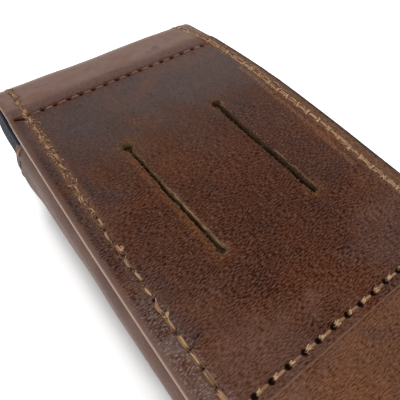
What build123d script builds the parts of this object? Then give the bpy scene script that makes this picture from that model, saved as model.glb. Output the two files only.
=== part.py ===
from build123d import *
import math
import os

# A leather glasses case, lying on its front with the belt slots in its back facing up.
# X runs across the case, Y towards the end that the cover folds over, Z out of the back.
# The origin is in the middle of the footprint, on the surface that the case lies on.

# Overall sizes
case_length = 164.0
panel_width = 80.0
pocket_depth = 27.0
panel_corner_radius = 14.0

# Sheets of leather, lining and board
cover_thickness = 1.8
back_thickness = 1.6
front_thickness = 1.8
gusset_thickness = 1.4
lining_thickness = 0.6
flap_board_thickness = 1.2
gusset_board_thickness = 1.0

# The gusset is a strip whose two edges are turned in under the back and the front
gusset_bulge = 1.8
gusset_bend_radius = 4.0
turned_edge_width = 9.0
gusset_end_from_top = 24.8

# A lined tab stands out of each open end of the gusset, beside the mouth
tab_length = 19.0
tab_corner_radius = 5.0

# The cover folds over the end of the case and down its front
fold_radius = 8.0
fold_gap = 0.2
flap_cover_length = 102.0
flap_corner_radius = 20.0
flap_gap = 0.4

# Edges of the pocket
mouth_from_top = 27.3
inner_back_past_row = 3.0

# Two rows of stitches across the back hold the cover to the inner back, and the belt
# passes between these two layers
top_row_from_top = 20.5
row_spacing = 98.8

# Belt slots
slot_length = 44.5
slot_width = 1.4
slot_end_diameter = 3.2
slot_spacing = 31.4

# Boards and lining stay this far inside the edge or the turned edge beside them
board_clearance = 0.2
board_edge_margin = 1.0
lining_setback = 0.5

# Magnets that hold the flap shut
magnet_diameter = 12.0
magnet_spacing = 36.0
magnet_clearance = 0.1
magnet_from_flap_edge = 16.0

# Stitching lies in a shallow groove
stitch_pitch = 4.43
stitch_gap = 1.0
stitch_width = 0.9
stitch_height = 0.45
groove_width = 1.3
groove_depth = 0.5
seam_inset = 4.8
hem_inset = 3.0
row_end_from_seam = 1.9

# Heights of the layers, from the flap at the bottom to the belt panel at the top
flap_inner_z = cover_thickness + flap_board_thickness + lining_thickness
front_outer_z = flap_inner_z + flap_gap
front_inner_z = front_outer_z + front_thickness
pocket_floor_z = front_inner_z + gusset_thickness + lining_thickness
pocket_roof_z = pocket_floor_z + pocket_depth
back_inner_z = pocket_roof_z + lining_thickness + gusset_thickness
back_outer_z = back_inner_z + back_thickness
cover_outer_z = back_outer_z + cover_thickness

# Places along the case
half_width = panel_width / 2
end_y = case_length / 2
fold_start_y = end_y - fold_radius
panel_low_y = gusset_bulge - case_length / 2
gusset_end_y = end_y - gusset_end_from_top
mouth_y = end_y - mouth_from_top
top_row_y = end_y - top_row_from_top
bottom_row_y = top_row_y - row_spacing
inner_back_top_y = top_row_y + inner_back_past_row
flap_low_y = end_y - flap_cover_length
magnet_y = flap_low_y + magnet_from_flap_edge
seam_x = half_width - seam_inset
row_half_length = seam_x - row_end_from_seam

# The centres of the two folds, and half of the angle that the cover is parted by at each
back_fold_z = cover_outer_z - fold_radius
front_fold_z = fold_radius
half_gap_angle = math.degrees(fold_gap / 2 / fold_radius)
lined_radius = fold_radius - cover_thickness


def rectangle(low_x, high_x, low_y, high_y):
    middle = Pos((low_x + high_x) / 2, (low_y + high_y) / 2)
    return middle * Rectangle(high_x - low_x, high_y - low_y)


def panel_outline(offset, top_y):
    """The panels' outline grown by an offset, with round lower corners and a square top."""
    half = half_width + offset
    sheet = rectangle(-half, half, panel_low_y - offset, top_y)
    lower_corners = sheet.vertices().sort_by(Axis.Y)[:2]
    return fillet(lower_corners, panel_corner_radius + offset)


def panel_band(outer_offset, inner_offset, top_y):
    """A strip round the two sides and the bottom of the panels' outline."""
    return panel_outline(outer_offset, top_y) - panel_outline(inner_offset, top_y)


def flap_outline(inset, top_y):
    half = half_width - inset
    sheet = rectangle(-half, half, flap_low_y + inset, top_y)
    lower_corners = sheet.vertices().sort_by(Axis.Y)[:2]
    return fillet(lower_corners, flap_corner_radius - inset)


def slab(outline, low_z, high_z):
    return Pos(0, 0, low_z) * extrude(outline, amount=high_z - low_z)


def block(low, high):
    size = [b - a for a, b in zip(low, high)]
    middle = [(a + b) / 2 for a, b in zip(low, high)]
    return Pos(*middle) * Box(*size)


def fold_shell(centre_z, outer_radius, thickness, half, from_angle, to_angle):
    """Part of a fold: a shell about an X axis, between two angles up from +Y."""
    start = Plane(origin=(0, fold_start_y, centre_z), x_dir=(1, 0, 0), z_dir=(0, 0, 1))
    start = start.rotated((from_angle, 0, 0))
    wall = rectangle(-half, half, outer_radius - thickness, outer_radius)
    about = Axis((0, fold_start_y, centre_z), (1, 0, 0))
    return revolve(start * wall, axis=about, revolution_arc=to_angle - from_angle)


def ribbon(points, thickness, half):
    """A sheet bent along X: its outer face follows points in Y and Z, thickness below it."""
    inner = [(y, z - thickness) for y, z in reversed(points)]
    profile = make_face(Polyline(*points, *inner, close=True))
    on_side = Plane(origin=(-half, 0, 0), x_dir=(0, 1, 0), z_dir=(1, 0, 0))
    return extrude(on_side * profile, amount=2 * half)


def face_plane(at, along, outward):
    return Plane(origin=at, x_dir=along, z_dir=outward)


def stitch(at, along, outward):
    bar = SlotOverall(stitch_pitch - stitch_gap, stitch_width)
    bottom = face_plane(at, along, outward).offset(-groove_depth)
    return extrude(bottom * bar, amount=stitch_height)


def points_along(path):
    """Middles and directions of the stitches that fill a path, evenly spaced."""
    count = round(path.length / stitch_pitch)
    places = [(index + 0.5) / count for index in range(count)]
    return [(path.position_at(place), path.tangent_at(place)) for place in places]


def stitch_path(path, outward):
    return [stitch(at, along, outward) for at, along in points_along(path)]


def groove_path(path, outward):
    """A groove along a straight run of stitches."""
    start = path.position_at(0)
    end = path.position_at(1)
    along = end - start
    middle = start + along * 0.5
    run = SlotOverall(along.length + groove_width, groove_width)
    return extrude(face_plane(middle, along, outward) * run, amount=-groove_depth)


def line(start, end):
    return Edge.make_line(start, end)


def u_path(half, low_y, top_y, radius, z):
    """Down one side, round two corners and up the other side."""
    left_top = (-half, top_y, z)
    left_low = (-half, low_y, z)
    right_low = (half, low_y, z)
    right_top = (half, top_y, z)
    return FilletPolyline(left_top, left_low, right_low, right_top, radius=radius).wires()[0]


def row_path(y, z, half_length):
    return line((-half_length, y, z), (half_length, y, z))


def back_seam_path():
    top_y = fold_start_y - stitch_gap
    radius = panel_corner_radius - seam_inset
    return u_path(seam_x, panel_low_y + seam_inset, top_y, radius, cover_outer_z)


def front_seam_path():
    top_y = mouth_y - hem_inset
    radius = panel_corner_radius - seam_inset
    return u_path(seam_x, panel_low_y + seam_inset, top_y, radius, front_outer_z)


def flap_seam_path():
    top_y = fold_start_y - stitch_gap
    radius = flap_corner_radius - seam_inset
    return u_path(seam_x, flap_low_y + seam_inset, top_y, radius, 0)


def bridge_side_path(side):
    x = side * seam_x
    return line((x, end_y, front_fold_z + stitch_gap), (x, end_y, back_fold_z - stitch_gap))


def hem_path(side):
    """Across the gusset's wall, beside its open end."""
    x = side * (half_width + gusset_bulge)
    y = gusset_end_y - hem_inset
    low_z = front_inner_z + gusset_bend_radius
    high_z = back_inner_z - gusset_bend_radius
    return line((x, y, low_z), (x, y, high_z))


def panel_groove(top_y, low_z, high_z):
    """The groove of the seam round the back or the front."""
    band = panel_band(groove_width / 2 - seam_inset, -groove_width / 2 - seam_inset, top_y)
    return slab(band, low_z, high_z)


def flap_groove(top_y, low_z, high_z):
    outer = flap_outline(seam_inset - groove_width / 2, top_y)
    inner = flap_outline(seam_inset + groove_width / 2, top_y)
    return slab(outer - inner, low_z, high_z)


def make_belt_slot(side):
    """A slit with a round punched hole at each end."""
    row_middle_y = (top_row_y + bottom_row_y) / 2
    hole_y = (slot_length - slot_end_diameter) / 2
    slit = Rectangle(slot_width, 2 * hole_y)
    holes = [Pos(0, end * hole_y) * Circle(slot_end_diameter / 2) for end in (-1, 1)]
    outline = Pos(side * slot_spacing / 2, row_middle_y) * (slit + holes)
    return slab(outline, back_outer_z, cover_outer_z)


def make_back_cover():
    """The cover's part over the back, with the first half of the back fold."""
    sheet = slab(panel_outline(0, fold_start_y), back_outer_z, cover_outer_z)
    sheet += fold_shell(back_fold_z, fold_radius, cover_thickness, half_width,
                        45 + half_gap_angle, 90)
    sheet -= [make_belt_slot(side) for side in (-1, 1)]
    sheet -= panel_groove(fold_start_y - stitch_gap, cover_outer_z - groove_depth, cover_outer_z)
    for y in (top_row_y, bottom_row_y):
        sheet -= groove_path(row_path(y, cover_outer_z, row_half_length), (0, 0, 1))
    return sheet


def make_inner_back():
    return slab(panel_outline(0, inner_back_top_y), back_inner_z, back_outer_z)


def make_front_panel():
    panel = slab(panel_outline(0, mouth_y), front_outer_z, front_inner_z)
    groove_top_z = front_outer_z + groove_depth
    panel -= panel_groove(mouth_y - hem_inset, front_outer_z, groove_top_z)
    mouth_row = row_path(mouth_y - hem_inset, front_outer_z, seam_x - stitch_pitch)
    return panel - groove_path(mouth_row, (0, 0, -1))


def gusset_section():
    """The strip cut across: a wall with both edges turned in, open towards the pocket."""
    height = back_inner_z - front_inner_z
    outer = rectangle(-turned_edge_width, gusset_bulge, -height / 2, height / 2)
    outer = fillet(outer.vertices().sort_by(Axis.X)[2:], gusset_bend_radius)
    inner_half = height / 2 - gusset_thickness
    inner = rectangle(-turned_edge_width - 1, gusset_bulge - gusset_thickness,
                      -inner_half, inner_half)
    inner = fillet(inner.vertices().sort_by(Axis.X)[2:], gusset_bend_radius - gusset_thickness)
    return outer - inner


def make_gusset():
    middle_z = (front_inner_z + back_inner_z) / 2
    path = u_path(half_width, panel_low_y, gusset_end_y, panel_corner_radius, middle_z)
    at_start = Plane(origin=path.position_at(0), x_dir=(-1, 0, 0), z_dir=(0, 1, 0))
    strip = sweep(at_start * gusset_section(), path=path)
    hems = [groove_path(hem_path(side), (side, 0, 0)) for side in (-1, 1)]
    return strip - hems


def make_gusset_board():
    outer_offset = gusset_bulge - gusset_thickness
    strip = panel_band(outer_offset, outer_offset - gusset_board_thickness, gusset_end_y)
    low_z = front_inner_z + gusset_bend_radius
    high_z = back_inner_z - gusset_bend_radius
    return slab(strip, low_z, high_z)


def make_gusset_lining():
    outer_offset = gusset_bulge - gusset_thickness - gusset_board_thickness
    strip = panel_band(outer_offset, outer_offset - lining_thickness, gusset_end_y)
    return slab(strip, pocket_floor_z, pocket_roof_z)


def make_mouth_tab(side):
    """It carries on from the gusset's board and lining, with its far corners rounded."""
    outer_x = half_width + gusset_bulge - gusset_thickness
    inner_x = outer_x - gusset_board_thickness - lining_thickness
    low_z = front_inner_z + gusset_bend_radius
    high_z = back_inner_z - gusset_bend_radius
    sheet = rectangle(gusset_end_y, gusset_end_y + tab_length, low_z, high_z)
    far_corners = sheet.vertices().sort_by(Axis.X)[2:]
    sheet = fillet(far_corners, tab_corner_radius)
    start_x = min(side * inner_x, side * outer_x)
    upright = face_plane((start_x, 0, 0), (0, 1, 0), (1, 0, 0))
    return extrude(upright * sheet, amount=outer_x - inner_x)


def board_outline(top_y):
    """The space that the gusset's turned edge leaves inside it."""
    return panel_outline(-turned_edge_width - board_clearance, top_y)


def pocket_lining_outline(top_y):
    """The linings reach to where the gusset's bend begins."""
    return panel_outline(gusset_bulge - gusset_bend_radius - lining_setback / 2, top_y)


def make_back_board():
    return slab(board_outline(gusset_end_y), back_inner_z - gusset_thickness, back_inner_z)


def magnet_places():
    return [Pos(side * magnet_spacing / 2, magnet_y) for side in (-1, 1)]


def make_magnets(low_z, high_z):
    disc = Circle(magnet_diameter / 2)
    return [slab(place * disc, low_z, high_z) for place in magnet_places()]


def magnet_holes(low_z, high_z):
    hole = Circle(magnet_diameter / 2 + magnet_clearance)
    return [slab(place * hole, low_z, high_z) for place in magnet_places()]


def make_front_board():
    low_z = front_inner_z
    high_z = front_inner_z + gusset_thickness
    board = slab(board_outline(mouth_y - board_edge_margin), low_z, high_z)
    return board - magnet_holes(low_z, high_z)


def make_front_lining():
    low_z = pocket_floor_z - lining_thickness
    return slab(pocket_lining_outline(mouth_y), low_z, pocket_floor_z)


def make_back_lining():
    """Flat over the back board, then up in two steps to the underside of the cover."""
    lined_z = back_inner_z - gusset_thickness
    flat = slab(pocket_lining_outline(gusset_end_y), pocket_roof_z, lined_z)
    first_step_y = gusset_end_y + (inner_back_top_y - gusset_end_y) / 2
    steps = [(gusset_end_y, lined_z), (first_step_y, back_inner_z),
             (inner_back_top_y, back_inner_z), (fold_start_y, back_outer_z)]
    rise = ribbon(steps, lining_thickness, half_width - lining_setback)
    fold = fold_shell(back_fold_z, lined_radius, lining_thickness,
                      half_width - lining_setback, 45 + half_gap_angle, 90)
    return flat + rise + fold


def make_bridge_cover():
    """The end wall of the case, with the second half of each fold."""
    wall = block((-half_width, end_y - cover_thickness, front_fold_z),
                 (half_width, end_y, back_fold_z))
    wall += fold_shell(back_fold_z, fold_radius, cover_thickness, half_width,
                       0, 45 - half_gap_angle)
    wall += fold_shell(front_fold_z, fold_radius, cover_thickness, half_width,
                       half_gap_angle - 45, 0)
    return wall - [groove_path(bridge_side_path(side), (0, 1, 0)) for side in (-1, 1)]


def make_bridge_lining():
    half = half_width - lining_setback
    outer_y = end_y - cover_thickness
    wall = block((-half, outer_y - lining_thickness, front_fold_z), (half, outer_y, back_fold_z))
    wall += fold_shell(back_fold_z, lined_radius, lining_thickness, half,
                       0, 45 - half_gap_angle)
    wall += fold_shell(front_fold_z, lined_radius, lining_thickness, half,
                       half_gap_angle - 45, 0)
    return wall


def make_flap_cover():
    """The flap over the front, with the second half of the front fold."""
    sheet = slab(flap_outline(0, fold_start_y), 0, cover_thickness)
    sheet += fold_shell(front_fold_z, fold_radius, cover_thickness, half_width,
                        -90, -45 - half_gap_angle)
    return sheet - flap_groove(fold_start_y - stitch_gap, 0, groove_depth)


def flap_board_top_y():
    """The board stops short of the fold, where the lining comes down to the cover."""
    return fold_start_y - 2 * (flap_board_thickness + lining_thickness)


def make_flap_board():
    low_z = cover_thickness
    high_z = cover_thickness + flap_board_thickness
    board = slab(flap_outline(board_edge_margin, flap_board_top_y()), low_z, high_z)
    return board - magnet_holes(low_z, high_z)


def make_flap_lining():
    half = half_width - lining_setback
    sheet = slab(flap_outline(lining_setback, flap_board_top_y()),
                 flap_inner_z - lining_thickness, flap_inner_z)
    steps = [(flap_board_top_y(), flap_inner_z),
             (fold_start_y, cover_thickness + lining_thickness)]
    fall = ribbon(steps, lining_thickness, half)
    fold = fold_shell(front_fold_z, lined_radius, lining_thickness, half,
                      -90, -45 - half_gap_angle)
    return sheet + fall + fold


def make_mouth_seam():
    path = row_path(mouth_y - hem_inset, front_outer_z, seam_x - stitch_pitch)
    return stitch_path(path, (0, 0, -1))


def both_sides(make_path, outward_of):
    """One run of stitches on each side of the case."""
    stitches = []
    for side in (-1, 1):
        stitches += stitch_path(make_path(side), outward_of(side))
    return stitches


def write(name, *solids):
    """One file for each kind of piece, with like pieces as separate solids in it."""
    pieces = []
    for item in solids:
        pieces += item.solids()
    shape = pieces[0] if len(pieces) == 1 else Compound(children=pieces)
    shape.label = name
    export_step(shape, f"parts/{name}.step")


def main():
    os.makedirs("parts", exist_ok=True)
    front_board_z = (front_inner_z, front_inner_z + gusset_thickness)
    flap_board_z = (cover_thickness, cover_thickness + flap_board_thickness)

    write("back_cover", make_back_cover())
    write("inner_back", make_inner_back())
    write("front_panel", make_front_panel())
    write("gusset", make_gusset())
    write("back_board", make_back_board())
    write("front_board", make_front_board())
    write("gusset_board", make_gusset_board())
    write("back_lining", make_back_lining())
    write("front_lining", make_front_lining())
    write("gusset_lining", make_gusset_lining())
    write("front_magnets", *make_magnets(*front_board_z))
    write("mouth_tabs", *[make_mouth_tab(side) for side in (-1, 1)])

    write("bridge_cover", make_bridge_cover())
    write("bridge_lining", make_bridge_lining())

    write("flap_cover", make_flap_cover())
    write("flap_board", make_flap_board())
    write("flap_lining", make_flap_lining())
    write("flap_magnets", *make_magnets(*flap_board_z))

    up = (0, 0, 1)
    down = (0, 0, -1)
    write("back_seam", *stitch_path(back_seam_path(), up))
    write("top_row_seam", *stitch_path(row_path(top_row_y, cover_outer_z, row_half_length), up))
    write("bottom_row_seam",
          *stitch_path(row_path(bottom_row_y, cover_outer_z, row_half_length), up))
    write("front_seam", *stitch_path(front_seam_path(), down))
    write("mouth_seam", *make_mouth_seam())
    write("gusset_hem_seams", *both_sides(hem_path, lambda side: (side, 0, 0)))
    write("bridge_seams", *both_sides(bridge_side_path, lambda side: (0, 1, 0)))
    write("flap_seam", *stitch_path(flap_seam_path(), down))


main()
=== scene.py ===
import math

import bpy
import bmesh
import numpy as np
from mathutils import Matrix, Vector
from mathutils.geometry import delaunay_2d_cdt


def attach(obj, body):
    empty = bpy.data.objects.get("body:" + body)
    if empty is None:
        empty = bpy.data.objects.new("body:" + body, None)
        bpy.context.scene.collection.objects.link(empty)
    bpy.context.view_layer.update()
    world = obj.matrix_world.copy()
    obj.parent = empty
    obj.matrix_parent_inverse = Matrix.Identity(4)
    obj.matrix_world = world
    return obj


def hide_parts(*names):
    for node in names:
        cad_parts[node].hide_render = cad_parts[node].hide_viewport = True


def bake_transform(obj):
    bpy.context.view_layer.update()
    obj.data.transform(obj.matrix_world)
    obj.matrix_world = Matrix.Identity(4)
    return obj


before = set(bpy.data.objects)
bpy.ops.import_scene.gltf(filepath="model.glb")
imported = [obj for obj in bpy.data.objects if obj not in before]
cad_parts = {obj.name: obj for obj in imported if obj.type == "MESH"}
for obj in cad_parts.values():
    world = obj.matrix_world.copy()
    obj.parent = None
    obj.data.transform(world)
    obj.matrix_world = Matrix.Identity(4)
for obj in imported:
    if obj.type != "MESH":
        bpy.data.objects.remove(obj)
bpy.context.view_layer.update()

# Lengths here are in millimetres until a mesh is made from them. The scene is in metres.
mm = 0.001

# The case lies on its flap with its back up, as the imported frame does
case = {
    "half": 40.0,  # half the width of the back and the flap
    "lowY": -80.2,  # the back's lower edge
    "topZ": 40.2,  # the back's outer skin
    "foldY": 74.0,  # where the cover starts to bend over the end
    "foldRadius": 8.0,
    "flapLowY": -20.0,
    "backCorner": 14.0,
    "flapCorner": 20.0,
}

# How use has drawn the back out of true, by place along the case
worn = {
    "y": (-80, -40, -12, 10, 30, 40, 50, 58, 65, 75),
    "rightOut": (0.0, 0.6, 1.15, 1.55, 1.4, 1.25, 1.0, 0.3, -0.4, -1.0),
    "rightUp": (0.0, 0.1, 0.2, 0.5, 0.5, 0.1, -0.3, -0.6, -0.9, -0.35),
    "leftOut": (0.0, 0.1, 0.3, 0.4, 0.3, 0.2, 0.1, 0.0, -0.3, -0.3),
    # the cover alone is cut in past the end of the inner leather
    "cutY": (65.2, 65.7, 75.0),
    "cutIn": (0.0, 0.75, 2.5),
}


def smooth(t):
    t = np.clip(t, 0, 1)
    return t * t * (3 - 2 * t)


def ridge(distance, width):
    return np.exp(-((distance / width) ** 2))


def ripple(x, y, size, seed, waves=14):
    # a soft uneven swell, mostly within -1 and 1, whose bumps are about this size
    rng = np.random.default_rng(seed)
    total = np.zeros(np.broadcast(x, y).shape)
    for _ in range(waves):
        turn, phase = rng.uniform(0, 2 * math.pi, 2)
        pace = 2 * math.pi / (size * rng.uniform(0.7, 1.7))
        total += np.cos(pace * (x * math.cos(turn) + y * math.sin(turn)) + phase)
    return total / math.sqrt(waves / 2) * 0.8


def swells(x, y, *parts):
    # ripples on top of one another, with the height, size and seed of each
    return sum(height * ripple(x, y, size, seed) for height, size, seed in parts)


def spread(*parts):
    # numbers and arrays brought to one shape, as the last axis of a grid
    return np.stack(np.broadcast_arrays(*parts), -1)


# The cover is one strip of leather: up the back, over the end, down the front.
# v runs along its outer skin from the back's lower edge, x runs across.
quarterTurn = math.pi / 2
backLength = case["foldY"] - case["lowY"]
arcLength = quarterTurn * case["foldRadius"]
wallLength = case["topZ"] - 2 * case["foldRadius"]
flapLength = case["foldY"] - case["flapLowY"]
vFold = backLength
vWall = vFold + arcLength
vWallEnd = vWall + wallLength
vFlap = vWallEnd + arcLength
vEnd = vFlap + flapLength
vSplit = vWall + wallLength / 2  # two pieces meet here


def coverAngle(v):
    radius = case["foldRadius"]
    first = np.clip((v - vFold) / radius, 0, quarterTurn)
    second = np.clip((v - vWallEnd) / radius, 0, quarterTurn)
    return first, second


def settle(points):
    # the far right corner has drawn in and dropped, the long sides have bowed out
    x, y, z = points.T
    height = smooth((z - 10) / 22)
    right = np.interp(y, worn["y"], worn["rightOut"]) * smooth((x - 6) / 30)
    left = np.interp(y, worn["y"], worn["leftOut"]) * smooth((-x - 20) / 18)
    rise = np.interp(y, worn["y"], worn["rightUp"]) * smooth((x - 25) / 15)
    points[:, 0] += (right - left) * height
    points[:, 2] += rise * height
    return points


def onCover(x, v, out=0.0):
    # a point of the cover, out mm above its skin
    first, second = coverAngle(v)
    radius = case["foldRadius"]
    cut = np.interp(v, [y - case["lowY"] for y in worn["cutY"]] + [vWall, vWallEnd],
                    [*worn["cutIn"], worn["cutIn"][-1], 0])
    x = x - cut * smooth((x - 18) / 22)
    y = case["lowY"] + np.minimum(v, vFold)
    y = y + radius * np.sin(first) - radius * (1 - np.cos(second)) - np.maximum(v - vFlap, 0)
    z = case["topZ"] - radius * (1 - np.cos(first))
    z = z - np.clip(v - vWall, 0, wallLength) - radius * np.sin(second)
    lean = first + second
    y = y + out * np.sin(lean)
    z = z + out * np.cos(lean)
    return settle(spread(x, y, z).astype(float))


def coverAxes(v):
    lean = sum(coverAngle(v))
    return (spread(1.0, 0.0, 0 * lean), spread(0.0, np.cos(lean), -np.sin(lean)),
            spread(0.0, np.sin(lean), np.cos(lean)))


def roundedInset(x, v, half, low, high, lowRadius, highRadius):
    # how far inside the edge of a strip with round corners a point lies
    middle = (low + high) / 2
    radius = np.where(v < middle, lowRadius, highRadius)
    overX = np.abs(x) - half + radius
    overV = np.abs(v - middle) - (high - low) / 2 + radius
    outside = np.hypot(np.maximum(overX, 0), np.maximum(overV, 0))
    return radius - outside - np.minimum(np.maximum(overX, overV), 0)


def coverInset(x, v):
    return roundedInset(x, v, case["half"], 0, vEnd, case["backCorner"], case["flapCorner"])


# Belt slots: a slit with a punched hole at each end
slots = {
    # middle, how far the upper end leans, half the width
    "places": ((-15.65, -0.65, 0.60), (15.80, -0.30, 0.92)),
    "y": 12.1,
    "holeY": 20.65,  # the punched holes' centres, either way from the middle
    "holeRadius": (1.7, 1.3),  # upper and lower
    "waver": 0.12,
}
slotV = slots["y"] - case["lowY"]


def slotMiddle(v, slot):
    return slot[0] + slot[1] * np.clip((v - slotV) / slots["holeY"], -1.3, 1.3)


def slotDistance(x, v, slot):
    at = slotMiddle(v, slot)
    alongSlit = np.maximum(np.abs(v - slotV) - slots["holeY"], 0)
    slit = np.hypot(x - at, alongSlit) - slot[2]
    radius = np.where(v > slotV, *slots["holeRadius"])
    holes = np.hypot(x - at, np.abs(v - slotV) - slots["holeY"]) - radius
    return np.minimum(slit, holes)


def slotRing(slot, grow):
    half = slot[2] + grow
    ends = []
    for hole in slots["holeRadius"]:
        start = math.asin(slot[2] / hole)
        turns = np.linspace(start - quarterTurn, 3 * quarterTurn - start, 26)
        end = (hole + grow) * np.stack([np.cos(turns), np.sin(turns)], -1)
        end[0] = half, -math.sqrt((hole + grow) ** 2 - half**2)
        end[-1] = -half, end[0, 1]
        ends.append(end + (0, slots["holeY"]))
    top, low = ends[0], -ends[1]
    down = np.linspace(top[-1, 1], low[0, 1], 100)[1:-1]
    left = np.stack([np.full_like(down, -half), down], -1)
    ring = np.concatenate([top, left, low, left[::-1] * (-1, 1)])
    # the knife wandered a little, the punched ends are not quite round
    x, v = ring.T
    waver = ripple(v, slot[0], 9, 5) + 0.6 * ripple(v, x + slot[0], 2.8, 6)
    waver += 0.45 * ripple(v, 2 * x + slot[0], 1.1, 7)
    ring[:, 0] += slotMiddle(ring[:, 1] + slotV, slot) + slots["waver"] * waver
    ring[:, 1] += slotV
    return ring


# Stitched lines on the cover
seams = {
    "pitch": 4.43,
    "leftInset": 5.6,
    # the right side was sewn by eye: places along it, and how far in from the edge
    "rightY": (-60, -21, -6, 7, 20, 40, 57, 64, 71, 74),
    "rightInset": (4.8, 5.3, 5.1, 4.2, 4.4, 4.0, 3.8, 3.9, 5.0, 5.9),
    "endInset": 4.8,
    "valley": 0.30,
    "valleyWidth": 1.1,
    "holeDepth": 0.6,
    "holeWidth": 0.42,
    "rowY": (61.5, -37.3),
    "rowHalf": 33.3,
    "rowHoleDepth": 0.95,
    "rowHoleWidth": 0.55,
    "creaseY": -39.76,
}
rowV = [y - case["lowY"] for y in seams["rowY"]]
creaseV = seams["creaseY"] - case["lowY"]


def seamInset(x, v):
    # the line was sewn closer to the right edge than to the left
    right = np.interp(v + case["lowY"], seams["rightY"], seams["rightInset"])
    side = np.where(x < 0, seams["leftInset"], right)
    onBack = smooth((v - 12) / 12) * smooth((vWall - v) / 10)
    return seams["endInset"] + (side - seams["endInset"]) * onBack * smooth((np.abs(x) - 20) / 12)


def coverSeamLine():
    # the whole line round the cover, as evenly spaced points in x and v
    inset = seams["endInset"]
    half = case["half"] - inset
    points = []
    for radius, middleV, turn in ((case["backCorner"], case["backCorner"], -1),
                                  (case["flapCorner"], vEnd - case["flapCorner"], 1)):
        bend = radius - inset
        angles = np.linspace(0, quarterTurn, 60)
        right = np.stack([half - bend + bend * np.cos(angles),
                          middleV + turn * bend * np.sin(angles)], -1)
        left = right[::-1] * (-1, 1)
        points.append(np.concatenate([right, left]))
    back, flap = points
    loop = np.concatenate([back, flap[::-1], back[:1]])
    dense = resample(loop, 0.5)
    # pushed out or in to where each side was really sewn
    push = seams["endInset"] - seamInset(dense[:, 0], dense[:, 1])
    dense[:, 0] += np.sign(dense[:, 0]) * push
    return dense


def resample(line, gap):
    steps = np.hypot(*np.diff(line, axis=0).T)
    reach = np.concatenate([[0], np.cumsum(steps)])
    count = max(2, int(round(reach[-1] / gap)) + 1)
    at = np.linspace(0, reach[-1], count)
    return np.stack([np.interp(at, reach, line[:, k]) for k in range(line.shape[1])], -1)


def rowHoles(first, last, v, seed):
    rng = np.random.default_rng(seed)
    count = round((last - first) / seams["pitch"]) + 1
    xs = np.linspace(first, last, count) + rng.normal(0, 0.10, count)
    return np.stack([xs, v + rng.normal(0, 0.06, count)], -1)


perimeter = resample(coverSeamLine(), seams["pitch"])
topRow = rowHoles(-33.9, 31.6, rowV[0], 21)
bottomRow = rowHoles(-33.75, 33.15, rowV[1], 22)
rowHolesAll = np.concatenate([topRow, bottomRow])
coverHoles = np.concatenate([perimeter, rowHolesAll])


farOff = 99.0  # further than any line or hole that matters
holesAtOnce = 40  # keeps the tables of distances small


def nearestHole(x, v, holes):
    best = np.full(x.shape, farOff)
    for start in range(0, len(holes), holesAtOnce):
        part = holes[start:start + holesAtOnce]
        gaps = np.hypot(x[:, None] - part[:, 0], v[:, None] - part[:, 1])
        best = np.minimum(best, gaps.min(1))
    return best


# A short cut across the margin, by the left end of the top row
nick = {"from": (-38.2, 61.7), "to": (-35.6, 60.5), "depth": 1.0, "width": 0.34}

# A dry scuffed line beside the right seam and two light scratches, as lines of places
scuffLine = np.array([(33.3, 43.0), (33.4, 35.7), (32.8, 28.6), (32.5, 16.6), (32.1, 6.7),
                      (31.6, -1.4), (31.2, -9.0)]) - (0, case["lowY"])
scratchLines = [np.array(line) - (0, case["lowY"]) for line in (
    [(-9.4, 41.4), (-3.2, 38.8)], [(-8.7, 42.4), (-10.2, 38.0), (-12.9, 33.6)],
    [(-14.5, 44.0), (-11.0, 42.2)])]


def lineDistance(x, v, line):
    best = np.full(x.shape, farOff)
    for a, b in zip(line, line[1:]):
        run = b - a
        share = np.clip(((x - a[0]) * run[0] + (v - a[1]) * run[1]) / run.dot(run), 0, 1)
        best = np.minimum(best, np.hypot(x - a[0] - share * run[0], v - a[1] - share * run[1]))
    return best


def nickDistance(x, v):
    return lineDistance(x, v, np.array([nick["from"], nick["to"]]) - (0, case["lowY"]))


relief = {
    "swells": ((0.09, 42, 11), (0.045, 15, 12), (0.018, 5, 13)),  # height, size, seed
    "padding": 0.25,  # the middle of the back
    "fallRight": 0.12, "fallLeft": 0.30,  # outside the seam
    "row": 0.34, "rowWidth": 0.75,
    "crease": 0.16, "creaseWidth": 0.28, "creaseLip": 0.08,
    "pucker": 0.10,
    "slotLip": 0.16,
    "flapBack": 0.12, "flapHighest": -0.02,
}


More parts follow.
